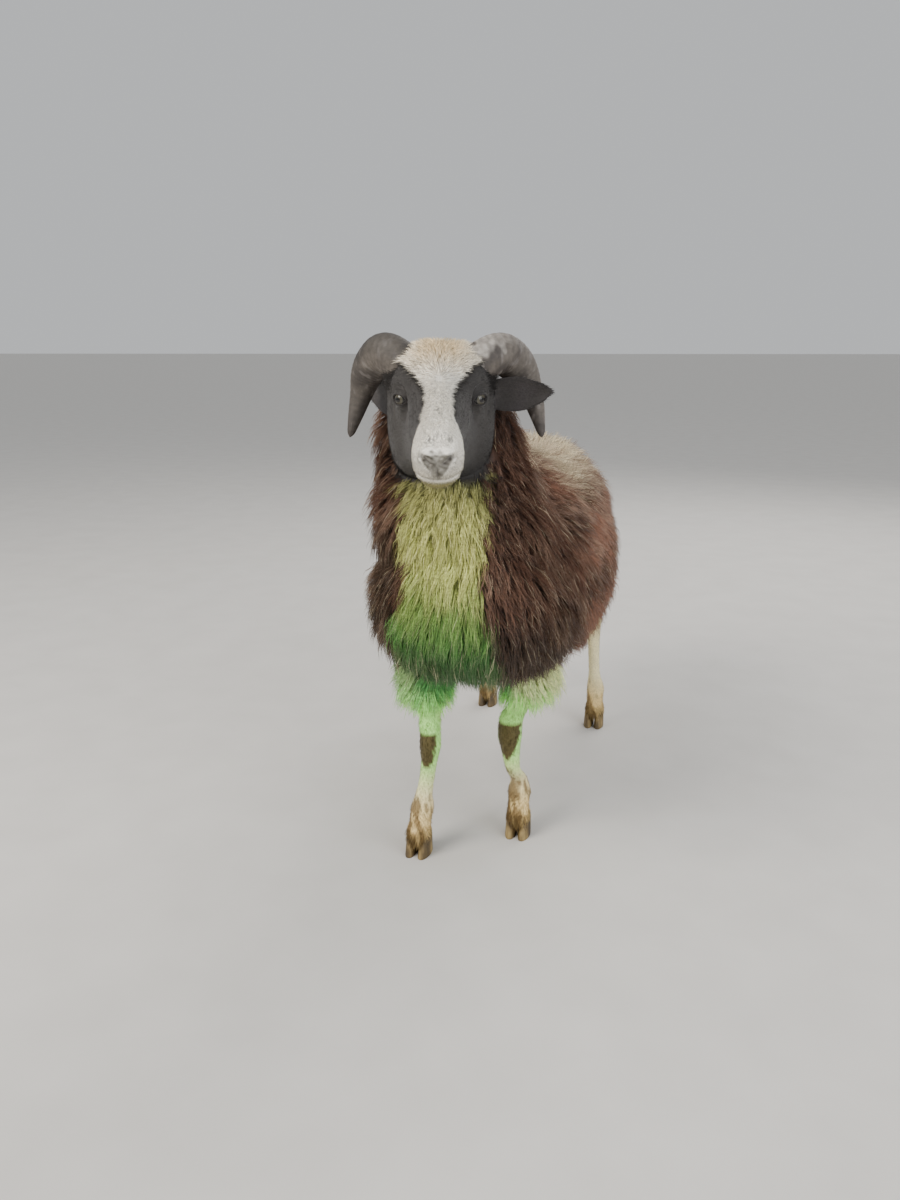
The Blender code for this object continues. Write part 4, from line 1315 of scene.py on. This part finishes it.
def strand_faces(rings):
    """Faces of one strand of so many rings of three and a point, as lists of its points."""
    faces = [(0, 2, 1)]
    for ring in range(rings - 1):
        start = 3 * ring
        for corner in range(3):
            after = (corner + 1) % 3
            faces.append((start + corner, start + after, start + 3 + after, start + 3 + corner))
    start = 3 * (rings - 1)
    return faces + [(start + corner, start + (corner + 1) % 3, start + 3) for corner in range(3)]


def strand_triangles(kind):
    return sum(len(face) - 2 for face in strand_faces(len(STATIONS[kind]) - 1))


def grow(kind, place, normal, along, length, lift, width, root_map, colour, tip_colour, droop, wave, gather,
         offset):
    """Points, colours and map places of strands, one row each.

    Lift is the angle from the skin at the root, droop the fall of the tip, wave the swing to the sides and
    gather how far the tip comes back from the offset to the middle of the lock.
    """
    stations = np.array(STATIONS[kind])
    side = unit(np.cross(normal, along))
    rise, run = np.sin(lift)[:, None], np.cos(lift)[:, None]
    t = stations[None, :, None]
    path = place[:, None] + offset[:, None] * (1 - gather[:, None, None] * t)
    bow = t * (along * run + normal * rise)[:, None] - ARCH * t**2 * (normal * rise)[:, None]
    path = path + length[:, None, None] * bow
    path[..., 2] -= (length * droop)[:, None] * stations**2
    phase = rng.uniform(0, 2 * np.pi, len(place))[:, None]
    swing = (wave * length)[:, None] * stations * np.sin(phase + 6.5 * stations)
    path = path + swing[..., None] * side[:, None]
    path = path - 0.0015 * normal[:, None] * (1 - t)
    ahead = unit(np.gradient(path, axis=1))
    across = unit(np.cross(ahead, normal[:, None]))
    out = np.cross(across, ahead)
    half = 0.5 * width[:, None, None] * PROFILES[kind][None, :, None]
    base, across, out = path[:, :-1], across[:, :-1], out[:, :-1]
    rings = np.stack((base + across * half, base - across * half, base + out * half * 0.9), 2)
    points = np.concatenate((rings.reshape(len(place), -1, 3), path[:, -1:]), 1)
    # Painted shade at the root, rising to painted light at the tip.
    shade = np.interp(stations, (0, 0.4, 1), (0.55, 0.95, 1.10))[None, :, None]
    fade = (stations**1.5)[None, :, None]
    colours = (colour[:, None] * (1 - fade) + tip_colour[:, None] * fade) * shade
    colours = np.concatenate((np.repeat(colours[:, :-1], 3, 1), colours[:, -1:]), 1)
    across_map = np.tile((0, 0.5, 1), len(stations) - 1)
    map_shift = PATCH * np.stack((np.append(across_map, 0.5), np.append(np.repeat(stations[:-1], 3), 1)), 1)
    return points, colours, np.clip(root_map, 0, 1 - PATCH)[:, None] + map_shift


MOST_TRIANGLES = 196000


def coat_piece(name, kind, material, slot, points, colours, maps):
    """Pieces of mesh for these strands, as many as keep each one under the limit."""
    faces = strand_faces(len(STATIONS[kind]) - 1)
    most = MOST_TRIANGLES // strand_triangles(kind)
    parts = math.ceil(len(points) / most)
    for number, chosen in enumerate(np.array_split(np.arange(len(points)), parts)):
        count, per = len(chosen), points.shape[1]
        sizes = np.tile([len(face) for face in faces], count)
        flat = (np.concatenate(faces)[None] + per * np.arange(count)[:, None]).ravel()
        mesh = bpy.data.meshes.new(name)
        mesh.vertices.add(count * per)
        mesh.vertices.foreach_set("co", (points[chosen] - (0, MIDDLE_Y, 0)).ravel())
        mesh.loops.add(len(flat))
        mesh.loops.foreach_set("vertex_index", flat)
        mesh.polygons.add(len(sizes))
        mesh.polygons.foreach_set("loop_start", np.concatenate(([0], np.cumsum(sizes)[:-1])))
        mesh.update(calc_edges=True)
        mesh.shade_smooth()
        mesh.uv_layers.new(name="OFBake").data.foreach_set("uv", maps[chosen].reshape(-1, 2)[flat].ravel())
        paint_points(mesh, colours[chosen].reshape(-1, 3))
        mesh.materials.append(material)
        piece = put(f"{name}_{number + 1}" if parts > 1 else name, mesh)
        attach(piece, "root")
        print(piece.name, "strands:", count, "triangles:", count * strand_triangles(kind))


print("triangles in a long strand:", strand_triangles("long"))

# %% [markdown]
# ## Wool
# Length, lift and width change over the body: the bib hangs long and close, the belly is thin, and the
# cuffs hang over the knees. The saddle is cream over dark roots, with strands that stand up and stray.

# %% Wool
fleece = new_material("fleece", 0.72, [("Specular IOR Level", 0.14), ("Sheen Weight", 0.10)])
mottled(fleece, 240, 0.74, 1.22, (0.45, 0.45, 1.9))

LOCKS, LOCK_STRANDS, LONG_STRANDS = 11400, 8, 3
LOCK_REACH = 0.0062
STRAND_WIDTH = 0.00112
FLANK_LENGTH, THROAT_LENGTH = 0.054, 0.013
WOOL_LENGTHS = (  # part, heights and the lengths of its locks there
    ("neck", (0.52, 0.60, 0.70), (0.056, 0.046, 0.034)), ("tail", (0, 1), (0.050, 0.050)),
    ("foreleg", (0.24, 0.27, 0.31), (0.023, 0.038, 0.050)), ("hindleg", (0.27, 0.32), (0.022, 0.048)),
)


def wool_weight(places, part):
    """How thickly the locks grow, and where there is wool at all."""
    z = places[:, 2]
    weight = np.where(is_part(part, "trunk", "neck", "tail"), 1.0, 0.0)
    weight = np.where(is_part(part, "foreleg") & (z > 0.243), 1.3, weight)
    weight = np.where(is_part(part, "hindleg") & (z > 0.270), 1.0, weight)
    belly = is_part(part, "trunk") & (z < 0.33) & (places[:, 1] > 0.05)
    return weight * np.where(belly, 0.55, 1.0) * (1 + 0.4 * saddle_share(places) + 0.4 * bib_share(places))


def repeated(times, *arrays):
    return [np.repeat(values, times, axis=0) for values in arrays]


def seen_at(place, normal, along, length):
    """Where a lock shows its colour, about half way along."""
    return place + length[:, None] * (0.55 * along + 0.25 * normal)


def locks():
    """One row for each lock: its root, where it points, how long it is and its colours."""
    place, normal, root_map, part = roots(wool_weight(face_middles, skin_face_part), LOCKS)
    along = lie(place, normal, part)
    z = place[:, 2]
    length = np.full(LOCKS, FLANK_LENGTH)
    for name, heights, lengths in WOOL_LENGTHS:
        length = np.where(is_part(part, name), np.interp(z, heights, lengths), length)
    side, back, _ = in_head(place).T
    throat = is_part(part, "neck") & (np.abs(side) < 0.068) & (z > 0.586) & (back < 0.235)
    length = np.where(throat, THROAT_LENGTH, length)
    seen = seen_at(place, normal, along, length)
    saddle, bib = saddle_share(seen), bib_share(seen)
    turn = 0.28 * wander(place, 0.045, 31) + 0.20 * rng.normal(size=LOCKS)
    turn = turn * (1 + 0.5 * saddle) * (1 - 0.4 * bib)
    along = unit(turned(along, normal, turn))
    low_flank = falling(z, 0.34, 0.42)
    length = length * (1 + 0.30 * saddle) * (1 + 0.12 * low_flank) * rng.uniform(0.78, 1.15, LOCKS)
    seen = seen_at(place, normal, along, length)
    bib = bib_share(seen)
    lift = np.radians(46 + 6 * wander(place, 0.04, 32) + 6 * saddle - 7 * bib + rng.normal(0, 5, LOCKS))
    lift = np.where(is_part(part, "foreleg", "hindleg", "tail"), lift - 0.25, lift)
    colour = markings(seen, part)
    dark = colour.mean(1) < 0.12
    worn = np.clip(0.20 + 0.26 * wander(place, 0.035, 33) + 0.14 * rng.normal(size=LOCKS), 0, 0.7)
    worn = worn * (1 - 0.6 * low_flank)
    # Dark tips fade to weathered brown; pale tips are painted a little lighter, as light.
    tip = np.where(dark[:, None], mix(colour, WEATHERED, worn), colour * 1.06)
    at_tip = place + length[:, None] * (0.92 * along + 0.25 * normal)
    tip = mix(tip, wool_colour(at_tip), 0.8 * np.maximum(saddle, saddle_share(at_tip)))
    tip = mix(tip, DARK_WOOL, 0.75 * saddle * (rng.random(LOCKS) < 0.16))
    light = 1 + np.where(bib > 0.5, 0.04, 0.11) * rng.normal(size=LOCKS)
    # Pale strands get lighter roots, which weakens the painted shade at their roots.
    colour = mix(colour * np.where(dark, 1.0, 1.45)[:, None], DARK_WOOL, 0.45 * saddle)
    return place, normal, along, root_map, length, lift, colour, tip, light, bib, dark, saddle


def wool():
    """Strands for every lock: each strays a little from its lock in place, length, lift and tone."""
    rows = repeated(LOCK_STRANDS, *locks())
    place, normal, along, root_map, length, lift, colour, tip, light, bib, dark, saddle = rows
    count = len(place)
    spin, spread = rng.uniform(0, 2 * np.pi, count), LOCK_REACH * np.sqrt(rng.random(count))
    offset = turned(along, normal, spin, spread)
    stray = rng.random(count) < 0.12 + 0.16 * saddle
    lift = lift + np.where(stray, rng.normal(0.10, 0.20, count) + 0.42 * saddle, rng.normal(0, 0.08, count))
    gather = np.where(stray, -0.6, rng.uniform(0.25, 0.85, count))
    length = length * rng.uniform(0.72, 1.08, count)
    light = (light + np.where(bib > 0.5, 0.05, 0.11) * rng.normal(size=count))[:, None]
    draw = rng.random(count)
    bright = np.where(dark, 0.55 * (draw < 0.05), 0.0)
    tip = mix(tip, CREAM_WOOL, bright)
    undyed, soiled = 0.25 * (bib > 0.3) * (draw < 0.10), 0.15 * (bib > 0.3) * (draw > 0.90)
    colour, tip = (mix(mix(paints, CREAM_WOOL, undyed), SHADE_AND_SOIL_WOOL, soiled) for paints in (colour, tip))
    wave = np.where(dark, 0.045, 0.055) * (1 - 0.8 * saddle) + 0.04 * rng.random(count)
    width = STRAND_WIDTH * rng.uniform(0.7, 1.35, count) * (1 - 0.12 * bib - 0.15 * saddle)
    droop = 0.16 - 0.13 * saddle
    fine = np.tile(np.arange(LOCK_STRANDS) >= LONG_STRANDS, LOCKS)
    made = []
    for kind, chosen in (("long", ~fine), ("short", fine)):
        columns = (place, normal, along, length, lift, width, root_map, colour * light, tip * light,
                   droop, wave, gather, offset)
        made.append((kind, grow(kind, *(column[chosen] for column in columns)), place[chosen]))
    return made


REGIONS = {
    "wool_neck_front": lambda x, y, z: (y < 0.0) & (z > 0.44),
    "wool_chest": lambda x, y, z: (y < 0.02) & (z <= 0.44),
    "wool_shoulder_left": lambda x, y, z: (x >= 0) & (y < 0.20),
    "wool_shoulder_right": lambda x, y, z: (x < 0) & (y < 0.20),
    "wool_flank_left": lambda x, y, z: (x >= 0) & (y < 0.46),
    "wool_flank_right": lambda x, y, z: (x < 0) & (y < 0.46),
    "wool_rump": lambda x, y, z: y > -9,
}
for kind, strands, places in wool():
    left_over = np.ones(len(places), bool)
    for name, rule in REGIONS.items():
        chosen = left_over & rule(*places.T)
        left_over &= ~chosen
        coat_piece(f"{name}_{kind}", kind, fleece, "dark fleece", *(part[chosen] for part in strands))

# %% [markdown]
# ## Short hair
# Face, ears and shanks carry hair of 4 to 28 mm, longest on the poll, that lies nearly flat. The skin's
# bump already gives the nap, so these small tufts are there to break the outline and the edges of the
# markings, where white hair reaches out over black. Eyelids, lips and nose stay bare.

# %% Short hair
nap_hair = new_material("short hair", 0.68, [("Specular IOR Level", 0.22)])
mottled(nap_hair, 500, 0.85, 1.12)


def is_bare(places, part):
    """True on lids, lips, nostrils and nose leather."""
    side, back, rise = in_head(places).T
    wide = np.abs(side)
    opening, outside = lid_opening(places)
    lip = np.abs(rise - np.interp(back, (0, CORNER_BACK), (LIP_FRONT, LIP_CORNER))) < 0.0024
    nose = (back < 0.012) & (wide < 0.0055 + 0.62 * (rise + 0.013)) & (rise > -0.024)
    nose |= (nostril(wide, rise) < 0.0032) & (back < 0.02)
    return is_part(part, "head") & (((opening < 1.45) & outside) | (lip & (back < CORNER_BACK)) | nose)


def short_hair(name, kind, slot, weights, count, length_of, lift_of, width, jitter, contrast=0.18):
    """Grows hair over the skin by weight, with its length and lift from functions of place and part."""
    place, normal, root_map, part = roots(weights, count)
    keep = ~is_bare(place, part)
    place, normal, root_map, part = place[keep], normal[keep], root_map[keep], part[keep]
    count = len(place)
    along = lie(place, normal, part)
    turn = jitter * rng.normal(size=count) + 0.25 * wander(place, 0.012, 41)
    along = unit(turned(along, normal, turn))
    colour = markings(place + 0.4 * length_of(place, part)[:, None] * along, part)
    colour = colour * np.clip(1 + contrast * rng.normal(size=count), 0.5, 1.6)[:, None]
    length = length_of(place, part) * rng.uniform(0.7, 1.25, count)
    lift = lift_of(place, part) + 0.10 * rng.normal(size=count)
    width = width * rng.uniform(0.75, 1.3, count)
    slight = np.full(count, 0.02)
    strands = grow(kind, place, normal, along, length, lift, width, root_map, colour, colour * 1.05,
                   slight, slight, np.zeros(count), np.zeros((count, 3)))
    coat_piece(name, kind, nap_hair, slot, *strands)


def whiteness(places):
    return smooth(head_colour(places).mean(1), 0.15, 0.40)


def face_length(places, part):
    _, back, rise = in_head(places).T
    on_top = smooth(rise, 0.0, 0.03)
    top = np.interp(back, (0, 0.04, 0.10, 0.14, 0.18, 0.22), (0.0042, 0.0070, 0.0105, 0.0135, 0.0190, 0.0280))
    jaw = 0.0050 + 0.010 * smooth(-rise, 0.060, 0.100) + 0.003 * smooth(back, 0.14, 0.2)
    length = on_top * top + (1 - on_top) * jaw
    return np.where(is_part(part, "ear"), 0.0060, length)


def face_lift(places, part):
    _, back, rise = in_head(places).T
    top = np.interp(back, (0, 0.10, 0.16, 0.21), (0.36, 0.46, 0.62, 1.05)) * smooth(rise, 0.0, 0.03)
    lip = 0.36 * falling(back, 0.04, 0.06)
    return np.where(is_part(part, "ear"), 0.20, np.maximum(np.maximum(top, lip), 0.17))


def behind_brow(places):
    return smooth(in_head(places)[:, 1], 0.164, 0.182)


def dark_length(places, part):
    """Dark hair is short on the cheeks, and longer behind the brow to fill the foot of horn and ear."""
    return np.minimum(face_length(places, part), 0.0062 + 0.016 * behind_brow(places))


def dark_lift(places, part):
    return np.minimum(face_lift(places, part), 0.22 + 0.6 * behind_brow(places))


on_face = is_part(skin_face_part, "head")
white = on_face * whiteness(face_middles)
on_poll = smooth(in_head(face_middles)[:, 1], 0.128, 0.142)
dark_weight = on_face * (1 - white) + 0.7 * is_part(skin_face_part, "ear")
short_hair("hair_blaze", "spike", "face fur", white * (1 - on_poll), 18000,
           face_length, face_lift, width=0.00095, jitter=0.30, contrast=0.26)
short_hair("hair_poll", "short", "face fur", white * on_poll, 9000,
           face_length, face_lift, width=0.00115, jitter=0.38, contrast=0.24)
short_hair("hair_dark_face", "spike", "face fur", dark_weight, 26000,
           dark_length, dark_lift, width=0.00085, jitter=0.20)


def leg_weight(places, part):
    z = places[:, 2]
    fore = is_part(part, "foreleg") & (z < 0.256)
    hind = is_part(part, "hindleg") & (z < 0.282)
    return ((fore | hind) & (z > 0.0265)) * (1 + 2.2 * falling(z, 0.04, 0.06))


def leg_length(places, part):
    lengths = (0.0170, 0.0130, 0.0090, 0.0070, 0.0085, 0.0150)
    return np.interp(places[:, 2], (0.03, 0.045, 0.07, 0.12, 0.20, 0.25), lengths)


def leg_lift(places, part):
    return np.interp(places[:, 2], (0.03, 0.08, 0.20, 0.25), (0.22, 0.26, 0.30, 0.45))


short_hair("hair_legs", "spike", "pale leg fur", leg_weight(face_middles, skin_face_part), 22000,
           leg_length, leg_lift, width=0.00120, jitter=0.20)

# %% [markdown]
# ## Boxes and the last line
# The visible sheep has to stay near the box of its solids, so the script prints how far it reaches past that
# box on each side.

# %% Sizes and finish
low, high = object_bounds()
for way, over in (("below", cad_low - low), ("above", high - cad_high)):
    print("past the solids' box", way, "in mm:", [round(1000 * v) for v in over])
